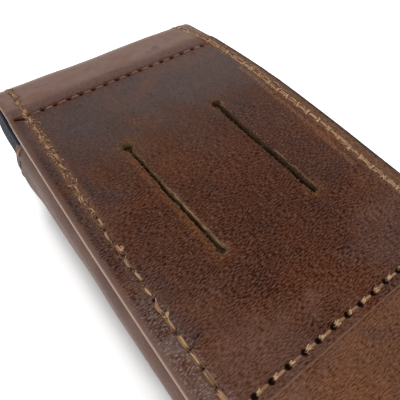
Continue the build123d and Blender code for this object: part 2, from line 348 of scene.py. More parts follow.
def coverRelief(x, v):
    inset = coverInset(x, v)
    out = swells(x, v, *relief["swells"])
    onBack = smooth((vFold - v) / 10)
    # the middle of the back is two layers thick and swells between its rows
    swell = smooth((v - rowV[1]) / 10) * smooth((rowV[0] - v) / 10) * smooth((inset - 6) / 12)
    out += relief["padding"] * swell * onBack
    fromSeam = inset - seamInset(x, v)
    out -= seams["valley"] * ridge(fromSeam, seams["valleyWidth"])
    # outside its seam the leather falls away to the edge
    out -= np.where(x > 0, relief["fallRight"], relief["fallLeft"]) * smooth((2.2 - inset) / 2.4)
    for at in rowV:
        along = smooth((seams["rowHalf"] + 1.5 - np.abs(x)) / 2)
        out -= relief["row"] * ridge(v - at, relief["rowWidth"]) * along
    out -= seams["holeDepth"] * ridge(nearestHole(x, v, perimeter), seams["holeWidth"])
    out -= seams["rowHoleDepth"] * ridge(nearestHole(x, v, rowHolesAll), seams["rowHoleWidth"])
    crease = smooth((36 - np.abs(x)) / 3)
    out -= relief["crease"] * ridge(v - creaseV, relief["creaseWidth"]) * crease
    out += relief["creaseLip"] * ridge(v - creaseV - 0.7, 0.5) * crease
    # fine puckers run in from the left edge, low down
    pucker = smooth((v - 6) / 12) * smooth((84 - v) / 22) * (x < 0) * smooth((7.5 - inset) / 3)
    out += relief["pucker"] * pucker * smooth(inset / 1.5) * ripple(x * 0.35, v, 1.9, 14)
    for slot in slots["places"]:
        gap = slotDistance(x, v, slot)
        out += relief["slotLip"] * np.exp(-np.maximum(gap, 0) / 1.5) * (gap < 12)
    out -= nick["depth"] * ridge(nickDistance(x, v), nick["width"])
    # the flap lies on the table: nothing there stands proud of its skin
    onFlap = np.minimum(out - relief["flapBack"], relief["flapHighest"])
    return np.where(v > vWallEnd, onFlap, out)


def makeMesh(name, points, faces, layers, material, sharp=False):
    # layers: name -> one number or three numbers for each vertex
    mesh = bpy.data.meshes.new(name)
    mesh.from_pydata((np.asarray(points) * mm).tolist(), [], [list(map(int, f)) for f in faces])
    for layer, values in layers.items():
        values = np.asarray(values, np.float32)
        vector = values.ndim == 2
        made = mesh.attributes.new(layer, "FLOAT_VECTOR" if vector else "FLOAT", "POINT")
        made.data.foreach_set("vector" if vector else "value", values.ravel())
    shell = bmesh.new()
    shell.from_mesh(mesh)
    loose = [vert for vert in shell.verts if not vert.link_faces]
    bmesh.ops.delete(shell, geom=loose, context="VERTS")
    bmesh.ops.recalc_face_normals(shell, faces=shell.faces)
    for face in shell.faces:
        face.smooth = True
    for edge in shell.edges if sharp else ():
        edge.smooth = edge.calc_face_angle(0) < 1.0
    shell.to_mesh(mesh)
    shell.free()
    mesh.materials.append(material)
    piece = bpy.data.objects.new(name, mesh)
    bpy.context.scene.collection.objects.link(piece)
    return piece


def sheetRing(sheet, inset, gap=1.0):
    # the outline of a sheet that is round at its low end and cut straight at its high end
    half, radius = sheet["half"] - inset, sheet["corner"] - inset
    sideCount = int((sheet["length"] - sheet["corner"]) / gap)
    arcCount = int(sheet["corner"] * quarterTurn / gap)
    endCount = int(2 * (sheet["half"] - sheet["corner"]) / gap)
    cutCount = int(2 * sheet["half"] / gap)
    side = np.linspace(sheet["length"], sheet["corner"], sideCount)
    angles = np.linspace(0, quarterTurn, arcCount)[1:]
    centre = sheet["half"] - sheet["corner"]
    down = np.stack([np.full_like(side, -half), side], -1)
    corner = np.stack([-centre - radius * np.cos(angles),
                       sheet["corner"] - radius * np.sin(angles)], -1)
    bottom = np.linspace(-centre, centre, endCount)[1:-1]
    bottom = np.stack([bottom, np.full_like(bottom, inset)], -1)
    cut = np.linspace(half, -half, cutCount)[1:-1]
    cut = np.stack([cut, np.full_like(cut, sheet["length"])], -1)
    mirrored = np.concatenate([down, corner])[::-1] * (-1, 1)
    return np.concatenate([down, corner, bottom, mirrored, cut])


def fillFlat(loops, loose):
    # triangles between closed loops of points, through the loose points among them
    points = np.concatenate([*loops, loose])
    edges, first = [], 0
    for loop in loops:
        count = len(loop)
        edges += [(first + k, first + (k + 1) % count) for k in range(count)]
        first += count
    found, _, faces, origins, _, _ = delaunay_2d_cdt(
        [Vector(p) for p in points], edges, [], 0, 1e-7)
    origin = [o[0] if o else -1 for o in origins]
    faces = np.array([[origin[k] for k in f] for f in faces])
    return faces[(faces >= 0).all(1)]


def insideLoop(points, loop):
    # even-odd test of many points against one closed loop
    x, y = points[:, 0][:, None], points[:, 1][:, None]
    a, b = loop, np.roll(loop, -1, axis=0)
    crosses = (a[:, 1] > y) != (b[:, 1] > y)
    step = np.where(a[:, 1] == b[:, 1], 1, b[:, 1] - a[:, 1])
    atX = a[:, 0] + (y - a[:, 1]) * (b[:, 0] - a[:, 0]) / step
    return (crosses & (x < atX)).sum(1) % 2 == 1


def gridPoints(low, high, gap):
    xs = np.arange(low[0], high[0], gap[0])
    vs = np.arange(low[1], high[1], gap[1])
    grid = np.stack(np.meshgrid(xs, vs), -1)
    grid[1::2, :, 0] += gap[0] / 2  # every other line shifted, for even triangles
    return grid.reshape(-1, 2)


def ringsAbout(centres, radii=(0.25, 0.5, 0.78, 1.15), count=9):
    found = [np.asarray(centres)]
    for k, radius in enumerate(radii):
        turns = np.linspace(0, 2 * math.pi, count, endpoint=False) + k * 0.4
        ring = radius * np.stack([np.cos(turns), np.sin(turns)], -1)
        found.append((np.asarray(centres)[:, None] + ring).reshape(-1, 2))
    return np.concatenate(found)


# Edge of a cut and burnished sheet: how far in, and how far down as a share of its thickness
burnishedEdge = [(0.95, 0.0), (0.6, 0.02), (0.34, 0.07), (0.15, 0.16), (0.04, 0.30), (0.0, 0.48),
                 (0.0, 0.72), (0.05, 0.88), (0.25, 1.0)]
slotEdge = [(0.55, 0.0), (0.3, 0.03), (0.13, 0.10), (0.03, 0.22), (0.0, 0.4), (0.0, 0.8),
            (0.03, 1.0)]


# How the points of a sheet's two faces are spread, and how far they keep clear of its edge, of its
# cut end and of its slots. On the top face they start past the turned edges.
topFace = {"clear": (burnishedEdge[0][0] + 0.35, 0.35, slotEdge[0][0] + 0.25), "raw": 0.0, "apart": 0.2}
underFace = {"clear": (1.0, 0.7, 0.6), "raw": 0.6, "gap": (5, 1.4)}
edgeTurn, slotTurn = 0.35, 0.2  # below these shares of the thickness an edge is raw
reliefDepth = 0.7  # the skin's relief dies out above this share of the thickness


def wellInside(sheet, points, fromEdge, fromCut, fromSlot):
    # the points that lie this far from a sheet's edge, its cut end and its slots
    x, v = points.T
    corner = sheet["corner"]
    inset = roundedInset(x, v, sheet["half"], 0, 3 * sheet["length"], corner, corner)
    keep = (inset > fromEdge) & (v < sheet["length"] - fromCut)
    for slot in sheet.get("slots", ()):
        keep &= slotDistance(x, v, slot) > fromSlot
    return points[keep]


def thin(points, gap):
    # drops points that lie almost on one another
    seen = {}
    for k, key in enumerate(map(tuple, np.round(points / gap).astype(int))):
        seen.setdefault(key, k)
    return points[sorted(seen.values())]


def leatherSheet(name, sheet, material):
    # sheet: size, thickness, and functions that lift it, place it in space and list fine points
    low, high = (-sheet["half"], 0), (sheet["half"], sheet["length"])
    outline = [sheetRing(sheet, inset, sheet.get("edgeGap", 1.0)) for inset, _ in burnishedEdge]
    openings = [[slotRing(slot, grow) for grow, _ in slotEdge] for slot in sheet.get("slots", ())]
    loose = np.concatenate([gridPoints(low, high, (sheet["gap"],) * 2), *sheet["finePoints"]])
    loose = thin(wellInside(sheet, loose, *topFace["clear"]), topFace["apart"])
    under = wellInside(sheet, gridPoints(low, high, underFace["gap"]), *underFace["clear"])
    flat, depth, raw, faces = [], [], [], []

    def add(points, down, cut):
        start = sum(len(part) for part in flat)
        flat.append(points)
        depth.append(np.full(len(points), float(down)))
        raw.append(np.full(len(points), float(cut)))
        return start + np.arange(len(points))

    def addEdge(rings, edge, turn):
        # rings that step out and down round an edge, each joined to the next
        ids = [add(ring, down, smooth(down / turn)) for ring, (_, down) in zip(rings, edge)]
        for one, two in zip(ids, ids[1:]):
            faces.extend(np.stack([one, np.roll(one, -1), np.roll(two, -1), two], -1).tolist())
        return ids

    def cap(loopIds, insideIds):
        # one face of the sheet, left open inside its slots
        points = np.concatenate(flat)
        loops = [points[ids] for ids in loopIds]
        ids = np.concatenate([*loopIds, insideIds])
        corners = fillFlat(loops, points[insideIds])
        for loop in loops[1:]:
            corners = corners[~insideLoop(points[ids][corners].mean(1), loop)]
        faces.extend(ids[corners].tolist())

    edges = [addEdge(outline, burnishedEdge, edgeTurn)]
    edges += [addEdge(rings, slotEdge, slotTurn) for rings in openings]
    cap([ids[0] for ids in edges], add(loose, 0, topFace["raw"]))
    cap([ids[-1] for ids in edges], add(under, 1, underFace["raw"]))

    flat, depth, raw = (np.concatenate(part) for part in (flat, depth, raw))
    x, v = flat.T
    if "flipFrom" in sheet:
        v = sheet["flipFrom"] - v
    down = depth * sheet["thickness"]
    lift = sheet["relief"](x, v) * smooth(1 - depth / reliefDepth)
    points = sheet["place"](x, v, lift - down)
    layers = {"pattern": np.stack([x, v, down], -1), "raw": raw, **sheet["layers"](x, v)}
    return makeMesh(name, points, faces, layers, material, sharp=True)


# What the leather's finish reads at each point: distances, then amounts
farLayers = ("inset", "fromSeam", "fromSlot", "fromNick", "fromHole", "fromScuff", "fromScratch",
             "fromCrease")
flatLayers = ("bloom", "plum", "glare", "haze", "ember", "rust", "lip", "rubbed", "rightMargin",
              "rim", "sewnBand", "near", "pucker", "roll", "rollTop", "band")
farthest = 30.0

# Broad patches of the hide's colour: across, along, reach either way, strength
patches = {
    # the first kind is a painted sheen: a grey veil over the far side of the back
    "bloom": [(-10, 55, 34, 12, 1.0), (-27, 48, 11, 18, 0.6), (24, 52, 18, 14, 1.0),
              (0, 37, 34, 16, 0.35), (36, 50, 6, 20, 0.5), (30, 14, 9, 10, 0.25)],
    "plum": [(-24, 57, 14, 7, 0.3), (-36, 28, 6, 20, 0.9), (-38, -6, 5, 14, 0.6),
             (-34, 12, 4, 10, 0.2), (-27, -12, 8, 8, 0.2), (24, -4, 7, 5, 0.5),
             (-11, -37.5, 12, 2.6, 0.3), (-32, -18, 5, 6, 0.4), (24, 24, 6, 9, 0.4),
             (-31, -23, 4, 3, 0.6), (-25, 40, 8, 8, 0.4), (3, 28, 9, 6, 0.35),
             (37, -16, 7, 12, 0.45), (0, -46, 6, 4, 0.6), (13, -41, 7, 3, 0.5),
             (-24, -44, 8, 5, 0.3), (22, -30, 9, 6, 0.6), (-22, -4, 8, 14, 0.25),
             (4, -60, 16, 9, 0.6), (-24, -66, 9, 12, 0.5), (30, -52, 8, 10, 0.5)],
    # painted glare: pale glints low on the left
    "glare": [(-30.5, -35.5, 5, 3.5, 0.7), (-38, -22, 2.4, 12, 0.8),
              (-38, -38, 2.6, 9, 0.6), (28, -24, 9, 5, 0.2), (14, -32, 11, 4, 0.15)],
    # painted sheen: a paler, greyer veil low on the left and in places high up
    "haze": [(-28, -28, 12, 9, 1.0), (-22, -36, 15, 6, 1.0), (-8, -36, 11, 3.5, 0.7),
             (-31, -12, 6, 8, 0.5), (3, 53, 12, 5, 0.8), (20, 60, 15, 4, 0.6),
             (-34, 10, 4, 14, 0.5), (-38, -16, 3, 12, 0.6), (33, -18, 8, 12, 0.4),
             (-34, 48, 6, 14, 0.4), (30, 48, 8, 10, 0.3), (21, -30, 10, 7, 0.5),
             (-31, -34, 7, 6, 1.0)],
    "ember": [(-6, -5, 12, 7, 0.5), (8, -6, 8, 8, 0.5), (-3, -16, 9, 5, 0.3), (20, 1, 8, 6, 0.3)],
    "rust": [(-6, 41, 6, 4, 0.5), (32, 4, 4, 6, 1.0), (-26, 22, 4, 5, 0.35),
             (-8, 20, 9, 6, 0.3), (-22, -15, 6, 3, 0.3), (12, -52, 14, 8, 0.5),
             (-18, -50, 12, 6, 0.5), (-30, 34, 3, 6, 0.3)],
}


def patchWeight(kind, x, v):
    # soft spots with wandering borders
    y = v + case["lowY"]
    seed = 200 + 10 * list(patches).index(kind)
    acrossDrift, alongDrift = (swells(x, y, (3.2, 15, k), (1.2, 5, k + 1)) for k in (seed, seed + 2))
    total = np.zeros_like(x, dtype=float)
    for atX, atY, reachX, reachY, strength in patches[kind]:
        gap = ((x + acrossDrift - atX) / reachX) ** 2 + ((y + alongDrift - atY) / reachY) ** 2
        total += strength * np.exp(-gap)
    return np.clip(total, 0, 1)


def bareLayers(shape):
    # leather without marks: everything far away and no patches
    return {**{key: np.full(shape, farthest) for key in farLayers},
            **{key: np.zeros(shape) for key in flatLayers}}


def coverLayers(x, v):
    left, right = x < 0, x > 0
    inset = coverInset(x, v)
    fromSeam = inset - seamInset(x, v)
    gaps = [slotDistance(x, v, slot) for slot in slots["places"]]
    nearSlot = np.minimum(*gaps)
    # rubbed orange along the near side of the first slot and about the punched ends
    fromSlit = x - slotMiddle(v, slots["places"][0])
    t = (v - slotV) / slots["holeY"]
    side = ridge(fromSlit + 1.4, 1.3) * smooth((1.2 - np.abs(t + 0.05)) / 0.5)
    ends = ridge(nearSlot, 1.2) * smooth((np.abs(t) - 0.86) / 0.1)
    # painted sheen: paler and greyer over both folds, and brown again down the front
    overRoll = smooth((v - vFold + 10.5) / 5)
    holes = [nearestHole(x, v, line) + more
             for line, more in ((bottomRow, 0), (topRow, 0.2), (perimeter, 0.36))]
    # the dry scuffs follow one another like dashes
    dash = smooth(0.5 + 0.6 * np.sin(v * 2.6 + 1.5 * ripple(v, 0, 9, 15)))
    upRight = right * smooth((v - 20) / 20)
    layers = {
        # pushed in on the right so the burnished band stays off the right edge, which is painted dark
        # there as shade
        "inset": inset + 1.7 * right * smooth((vFlap - v) / 4),
        "fromSeam": fromSeam,
        "fromSlot": np.maximum(nearSlot, 0),
        "fromNick": nickDistance(x, v),
        "fromHole": np.minimum.reduce(holes),
        "fromScuff": lineDistance(x, v, scuffLine) + 0.5 * (1 - dash),
        "fromScratch": np.minimum.reduce([lineDistance(x, v, line) for line in scratchLines]),
        "fromCrease": np.where(np.abs(x) < 37, np.abs(v - creaseV - 0.1), farthest),
        # painted sheen: a grey veil below the top row
        "bloom": patchWeight("bloom", x, v) * smooth((rowV[0] - v) / 3),
        "plum": patchWeight("plum", x, v),
        "rust": np.clip(patchWeight("rust", x, v) * 0.8 + side * 0.75 + ends, 0, 1),
        # painted highlight: a pale line along the first slot's right edge, low down
        "lip": ridge(gaps[0] - 0.1, 0.35) * (fromSlit > 0) * smooth((0.15 - t) / 0.3),
        "rubbed": smooth((creaseV - v) / 1.0),
        "rightMargin": smooth((0.4 - fromSeam) / 1.4) * upRight,
        # painted shade: a dark line along the right edge, high up
        "rim": smooth((1.9 - inset) / 1.2) * upRight,
        "sewnBand": ridge(fromSeam, 1.25) * smooth((vWall - v) / 6) * np.where(
            right, smooth((v - 30) / 20), smooth((v - 84) / 22)),
        "near": np.maximum(smooth((slotV + 34 - v) / 42), smooth((v - vWall) / 10)),
        "pucker": (left * smooth((v - 6) / 12) * smooth((86 - v) / 24) * smooth((8.5 - inset) / 3)
                   * smooth((inset - 0.5) / 0.8)),
        # painted glare: pale glints outside the left seam and at its lower end
        "glare": patchWeight("glare", x, v) * np.where(
            (x < -25) & (v > 46), smooth((0.6 - fromSeam) / 1.2), 1),
        # painted sheen, low on the left and in places high up
        "haze": patchWeight("haze", x, v) * (v < vFold),
        "ember": patchWeight("ember", x, v) * (v < vFold),
        # painted sheen over both folds
        "roll": overRoll * np.maximum(smooth((vWall + 10 - v) / 9),
                                      0.5 * ridge(v - vWallEnd - 6, 9)),
        # painted sheen: a pale band over the crest of the roll
        "rollTop": smooth((v - vFold - 0.5) / 7) * smooth((vWall + 15 - v) / 19),
        # painted sheen: a greyer band between the top row and the roll
        "band": smooth((v - rowV[0] - 0.4) / 1.2) * (1 - overRoll),
    }
    for key in farLayers:
        layers[key] = np.clip(layers[key], -9, farthest)
    return layers


# Materials
class Value:
    # what a node gives out, so that a finish can be written as plain sums
    def __init__(self, finish, socket):
        self.finish, self.socket = finish, socket

    def math(self, operation, other, kind="Math"):
        return self.finish.node(kind, {0: self, 1: other}, operation=operation)

    def __add__(self, other):
        return self.math("ADD", other)

    def __mul__(self, other):
        return self.math("MULTIPLY", other)

    def __rsub__(self, other):
        return self.finish.node("Math", {0: other, 1: self}, operation="SUBTRACT")

    def swing(self, amount):
        # a noise about 0.5, turned into a swing about nought
        return (self + -0.5) * amount

    def span(self, low, high, toLow=0.0, toHigh=1.0):
        # a soft step between two numbers
        return self.finish.node("MapRange", {"Value": self, "From Min": low, "From Max": high,
                                             "To Min": toLow, "To Max": toHigh}, "Result",
                                interpolation_type="SMOOTHSTEP")

    def ramp(self, *stops):
        made = self.finish.node("ValToRGB", {"Fac": self}, "Color")
        colours = made.socket.node.color_ramp.elements
        while len(colours) < len(stops):
            colours.new(0.5)
        for element, (at, colour) in zip(colours, stops):
            element.position = at
            element.color = (*colour, 1)
        return made


class Finish:
    # the nodes of a material or of the world
    def __init__(self, owner):
        self.owner = owner
        owner.use_nodes = True
        self.tree = owner.node_tree
        self.tree.nodes.clear()

    def node(self, kind, values=None, out=0, **settings):
        made = self.tree.nodes.new("ShaderNode" + kind)
        for key, value in settings.items():
            setattr(made, key, value)
        for key, value in (values or {}).items():
            socket = made.inputs[key]
            if isinstance(value, Value):
                self.tree.links.new(value.socket, socket)
            else:
                socket.default_value = (*value, 1) if socket.type == "RGBA" else value
        return Value(self, made.outputs[out]) if made.outputs else None

    def layer(self, name, out="Fac"):
        return self.node("Attribute", out=out, attribute_name=name)

    def noise(self, where, scale, detail=2.0, rough=0.5, out="Fac"):
        return self.node("TexNoise", {"Vector": where, "Scale": scale, "Detail": detail,
                                      "Roughness": rough}, out)

    def stretched(self, where, scale, turn=0.0):
        return self.node("Mapping", {"Vector": where, "Rotation": (0, 0, turn), "Scale": scale})

    def scaled(self, colour, level):
        return self.node("VectorMath", {0: colour, "Scale": level}, operation="SCALE")

    def blend(self, share, one, two):
        return self.node("MixRGB", {"Fac": share, "Color1": one, "Color2": two})

    def seenPlainly(self):
        # 1 for what the camera sees, also in a mirror or through glass
        camera, glossy, glass = (self.node("LightPath", out=f"Is {way} Ray")
                                 for way in ("Camera", "Glossy", "Transmission"))
        return camera.math("MAXIMUM", glossy).math("MAXIMUM", glass)

    def coat(self, colour, rough, bump=None, more=None):
        # bump: what raises the surface, how strongly, and how deep in metres
        values = {"Base Color": colour, "Roughness": rough, **(more or {})}
        if bump:
            values["Normal"] = self.node("Bump", dict(zip(("Height", "Strength", "Distance"), bump)))
        self.node("OutputMaterial", {"Surface": self.node("BsdfPrincipled", values)})
        return self.owner


hide = {
    "deep": (0.056, 0.0180, 0.0074),
    "mid": (0.078, 0.0242, 0.0080),
    "warm": (0.094, 0.0288, 0.0080),
    # painted sheen: the paler, greyer veil low on the left
    "haze": (0.132, 0.0600, 0.0400),
    "ember": (0.056, 0.0170, 0.0062),
    "rust": (0.160, 0.0590, 0.0190),
    # painted sheen: the grey veil below the top row
    "bloom": (0.079, 0.0550, 0.0515),
    "plum": (0.053, 0.0320, 0.0300),
    # painted glare: pale glints
    "glare": (0.190, 0.1250, 0.1050),
    "rubbed": (0.168, 0.0710, 0.0370),
    "rightMargin": (0.150, 0.0720, 0.0430),
    "sewnBand": (0.230, 0.1080, 0.0600),
    # painted shade along the right edge
    "rim": (0.030, 0.0180, 0.0170),
    # painted sheen between the top row and the roll
    "band": (0.114, 0.0640, 0.0540),
    # painted sheen: the paler, greyer colours over the folds
    "roll": (0.215, 0.1400, 0.1180),
    "rollWarm": (0.200, 0.1130, 0.0860),
    "rollDark": (0.105, 0.0700, 0.0640),
    # painted sheen over the crest of the roll
    "rollTop": (0.420, 0.3250, 0.2700),
    # worn colour, also used for painted glints and highlights
    "wear": (0.330, 0.1850, 0.1050),
    "scuff": (0.260, 0.1250, 0.0640),
    # painted glints on the puckers
    "glint": (0.430, 0.3700, 0.3600),
    "edge": (0.175, 0.1020, 0.0780),
    # the raw edges' pale pink is partly their own colour and partly a painted highlight along the edge
    "cut": (0.560, 0.3850, 0.3150),
    "slotCut": (0.205, 0.1300, 0.0640),
    # painted shade in the second slot
    "slotSoiled": (0.108, 0.0640, 0.0370),
    # painted shade inside the holes and the nick
    "hole": (0.009, 0.0040, 0.0022),
    # the grey of the painted sheen and shade on the grain
    "grain": (0.063, 0.0440, 0.0390),
    "darkest": (0.004, 0.002, 0.001),
    "streakLength": 0.98,
    "streakWidth": 0.29,
    # laid over one another in this order: layer and colour, strength, how ragged
    "patches": (("bloom", 0.9, 0.35), ("haze", 0.8, 0.45), ("rubbed", 0.9, 0.25),
                ("plum", 0.85, 0.9), ("ember", 0.9, 0.6), ("rust", 0.7, 0.9),
                ("rightMargin", 0.9, 0.4), ("rim", 0.95, 0.15), ("sewnBand", 0.75, 0.5),
                ("band", 0.9, 0.3)),
    # laid last: the painted sheen over the roll's crest, then the painted glare
    "overRoll": (("rollTop", 0.9, 0.2), ("glare", 0.75, 0.7)),
}


def wornColour(finish, look, colour, place, grain):
    # painted glints as light specks on the crests, then worn along the seams, the scuffed line and the
    # scratches, a pale line in the crease, and a painted highlight along the first slot's right edge
    layer, noise = finish.layer, finish.noise
    specks = noise(place, 3.1).span(0.64, 0.72) * grain
    rub = noise(place, 1.1, 4.0, 0.7)
    dry = noise(place, 1.9, 3.0, 0.65)
    offSeam = finish.node("Math", {0: layer("fromSeam")}, operation="ABSOLUTE")
    for where, amount, which in (
            (specks, 0.22, "wear"),
            (offSeam.span(2.0, 0.3) * rub.span(0.48, 0.62), 0.32, "wear"),
            (layer("fromScuff").span(1.5, 0.3) * dry.span(0.45, 0.55), 0.95, "scuff"),
            (layer("fromScratch").span(0.34, 0.05) * rub.span(0.38, 0.55), 0.30, "wear"),
            (layer("fromCrease").span(0.30, 0.08), 0.42, "wear"),
            (layer("lip"), 0.8, "wear")):
        colour = finish.blend(where * amount, colour, look[which])
    return colour


def cutColour(finish, look, colour, place, fine):
    # raw edges, those of the second slot painted darker than the first as shade
    layer, blend = finish.layer, finish.blend
    fibres = finish.noise(finish.stretched(place, (3.0, 1.3, 3.0)), 1.4, 4.0, 0.7)
    second = finish.node("SeparateXYZ", {"Vector": place}, "X").span(-3.0, 3.0)
    slotCut = blend(second, look["slotCut"], look["slotSoiled"])
    slotCut = finish.scaled(slotCut, fibres.span(0.36, 0.64, 0.3, 1.9))
    # the raw edges' pale pink is partly a painted highlight along the edge
    cut = blend(layer("fromSlot").span(0.5, 0.2), look["cut"], slotCut)
    colour = blend(layer("raw"), colour, cut)
    # painted shade inside the holes and the nick
    dark = (layer("fromHole") + fine.swing(0.5)).span(0.92, 0.58)
    dark = dark.math("MAXIMUM", layer("fromNick").span(0.60, 0.22))
    return blend(dark * 0.93, colour, look["hole"])


def coverLeather(name, look):
    finish = Finish(bpy.data.materials.new(name))
    layer, noise, blend, scaled = finish.layer, finish.noise, finish.blend, finish.scaled
    place = layer("pattern", "Vector")
    drift = noise(place, 0.11, out="Color").math("SUBTRACT", (0.5, 0.5, 0.5), "VectorMath")
    bent = place.math("ADD", scaled(drift, 1.6), "VectorMath")
    drawn = finish.stretched(bent, (1 / look["streakLength"], 1 / look["streakWidth"], 0.7))

    # short streaks drawn out across the width, with fine dark valleys between them
    streaks = noise(drawn, 1.0)
    fine = noise(place, 4.4, 2.0, 0.6)
    clouds = noise(place, 0.035, 3.0, 0.55)
    blotches = noise(place, 0.12, 4.0, 0.6)
    smudge = noise(place, 0.45, 4.0, 0.62)
    tone = clouds * 0.6 + blotches * 0.5
    colour = tone.ramp((0.42, look["deep"]), (0.54, look["mid"]), (0.68, look["warm"]))

    def patch(colour, which, amount, ragged):
        # patches fade through the finer smudges, never in an even slope
        weight = layer(which)
        share = (weight + smudge.swing(ragged * 2.2) * weight) * amount
        return blend(share, colour, look[which])

    for which in look["patches"]:
        colour = patch(colour, *which)
    # over the fold a painted sheen: paler, greyer colours with warm and dark drifts along the roll
    drifts = noise(finish.stretched(place, (0.050, 0.17, 0.1)), 1.0, 3.0, 0.6)
    rolled = drifts.ramp((0.36, look["rollWarm"]), (0.50, look["roll"]), (0.60, look["roll"]),
                         (0.70, look["rollDark"]))
    colour = blend(layer("roll") * 0.92, colour, rolled)
    for which in look["overRoll"]:
        colour = patch(colour, *which)

    # the grain fades out over the roll and along the burnished edge
    edge = (layer("inset") + smudge.swing(1.2)).span(2.2, 0.7)
    edge = edge * layer("near").span(0.1, 1.0, 0.6, 0.95)
    colour = blend(edge * 0.85, colour, look["edge"])
    burnished = edge * layer("rightMargin").span(0.0, 1.0, 0.85, 0.30)
    grain = 1.0 - (layer("roll") * 0.78).math("MAXIMUM", burnished)
    for which, without, within in (("near", 0.45, 1.0), ("rubbed", 1.0, 0.85), ("haze", 1.0, 0.75)):
        grain = grain * layer(which).span(0.0, 1.0, without, within)
    colour = scaled(colour, smudge.swing(0.45) + 1.09)
    # painted sheen and shade on the grain: crests are paler and greyer than the hide, valleys darker
    # and redder
    crests = scaled(look["grain"], (streaks.swing(6.1) + fine.swing(2.2)) * grain)
    colour = colour.math("ADD", crests, "VectorMath").math("MAXIMUM", look["darkest"], "VectorMath")

    colour = wornColour(finish, look, colour, place, grain)
    # painted glints on the puckers of the left margin
    puckers = noise(finish.stretched(bent, (1.2, 2.5, 1.0)), 1.0, 3.0, 0.6)
    colour = blend(puckers.span(0.50, 0.64) * layer("pucker") * 0.42, colour, look["glint"])
    colour = cutColour(finish, look, colour, place, fine)

    height = (streaks * 0.9 + fine * 0.4) * grain + puckers * layer("pucker") * 0.8
    rough = (streaks * 0.5 + clouds * 0.5).span(0.3, 0.7, 0.38, 0.54)
    return finish.coat(colour, rough, (height, 0.6, 0.0004), {"Specular IOR Level": 0.05})


def plainLeather(name, look):
    # smoother leather, on a scale set by where the piece is
    finish = Finish(bpy.data.materials.new(name))
    place = finish.layer("pattern", "Vector")
    clouds = finish.noise(place, 0.07, 4.0)
    fine = finish.noise(place, 2.6, 4.0, 0.65)
    grain = finish.node("TexVoronoi", {"Vector": place, "Scale": 1.6, "Smoothness": 0.3}, "Distance",
                        feature="SMOOTH_F1")
    colour = clouds.ramp((0.32, look["dark"]), (0.68, look["light"]))
    for share in (fine.span(0.5, 0.75, 0.0, 0.25), finish.layer("raw")):
        colour = finish.blend(share, colour, look["worn"])
    # painted light and shade: lighter where the wall turns in under the back, darker low down and near
    # the left open end, evening out the shade and the floor's light
    along, up = (finish.node("SeparateXYZ", {"Vector": place}, axis) for axis in "XY")
    level = up.span(8.0, 26.0, 0.62, 0.84) + up.span(25.0, 36.0, 0.0, 0.26)
    level = level * along.span(0.0, 28.0, 0.76, 0.95) + fine.swing(0.8)
    rough = fine.span(0.3, 0.7, look["rough"] - 0.05, look["rough"] + 0.07)
    return finish.coat(finish.scaled(colour, level), rough, (grain * 0.5 + fine * 0.5, 0.5, 0.00025),
                       {"Specular IOR Level": 0.18})


def liningCloth(name, look):
    finish = Finish(bpy.data.materials.new(name))
    place = finish.layer("pattern", "Vector")
    nap = finish.noise(place, 3.2, 5.0, 0.7)
    tone = nap * 0.5 + finish.noise(place, 0.12) * 0.5
    colour = tone.ramp((0.35, look["dark"]), (0.65, look["light"]))
    return finish.coat(colour, 0.85, (nap, 0.6, 0.00015),
                       {"Sheen Weight": 0.15, "Sheen Roughness": 0.4, "Specular IOR Level": 0.2})


def threadFinish(name, shade, body, light):
    finish = Finish(bpy.data.materials.new(name))
    lay = finish.stretched(finish.layer("pattern", "Vector"), (1.2, 4.5, 1.0), 0.6)
    fibres = finish.noise(lay, 1.6, 4.0, 0.65)
    tone = fibres * 0.65 + finish.layer("tint") * 0.5
    colour = tone.ramp((0.28, shade), (0.55, body), (0.85, light))
    return finish.coat(colour, 0.55, (fibres, 0.7, 0.00012),
                       {"Specular IOR Level": 0.3, "Sheen Weight": 0.2})


def boardFinish(name):
    finish = Finish(bpy.data.materials.new(name))
    pulp = finish.noise(finish.node("TexCoord", out="Object"), 900.0, 5.0)
    colour = pulp.ramp((0.35, (0.16, 0.13, 0.10)), (0.65, (0.27, 0.23, 0.18)))
    return finish.coat(colour, 0.9, (pulp, 0.4, 0.0002))


def magnetFinish(name):
    finish = Finish(bpy.data.materials.new(name))
    scuffs = finish.noise(finish.node("TexCoord", out="Object"), 400.0, 6.0)
    colour = scuffs.ramp((0.3, (0.52, 0.51, 0.49)), (0.7, (0.66, 0.65, 0.63)))
    return finish.coat(colour, scuffs.span(0.3, 0.7, 0.22, 0.38), more={"Metallic": 1.0})


waxedLeather = coverLeather("waxedLeather", hide)
sideLeather = plainLeather("sideLeather", {"dark": (0.150, 0.088, 0.070),
                                           "light": (0.215, 0.132, 0.106),
                                           "worn": (0.30, 0.200, 0.160), "rough": 0.58})
navyLining = liningCloth("navyLining", {"dark": (0.006, 0.009, 0.018),
                                        "light": (0.014, 0.020, 0.036)})
tanThread = threadFinish("tanThread", (0.105, 0.046, 0.022), (0.335, 0.170, 0.078),
                         (0.580, 0.350, 0.185))
mutedThread = threadFinish("mutedThread", (0.050, 0.030, 0.022), (0.165, 0.100, 0.074),
                           (0.275, 0.170, 0.112))
brownThread = threadFinish("brownThread", (0.090, 0.040, 0.018), (0.270, 0.130, 0.055),
                           (0.640, 0.410, 0.210))
looseFibres = threadFinish("looseFibres", (0.075, 0.034, 0.014), (0.190, 0.095, 0.038),
                           (0.380, 0.230, 0.110))
greyBoard = boardFinish("greyBoard")
nickelMagnet = magnetFinish("nickelMagnet")
print("materials ready")


# The cover, in two pieces that meet on the end wall
def seamPoints(low, high):
    chosen = coverHoles[(coverHoles[:, 1] > low) & (coverHoles[:, 1] < high)]
    return ringsAbout(chosen)


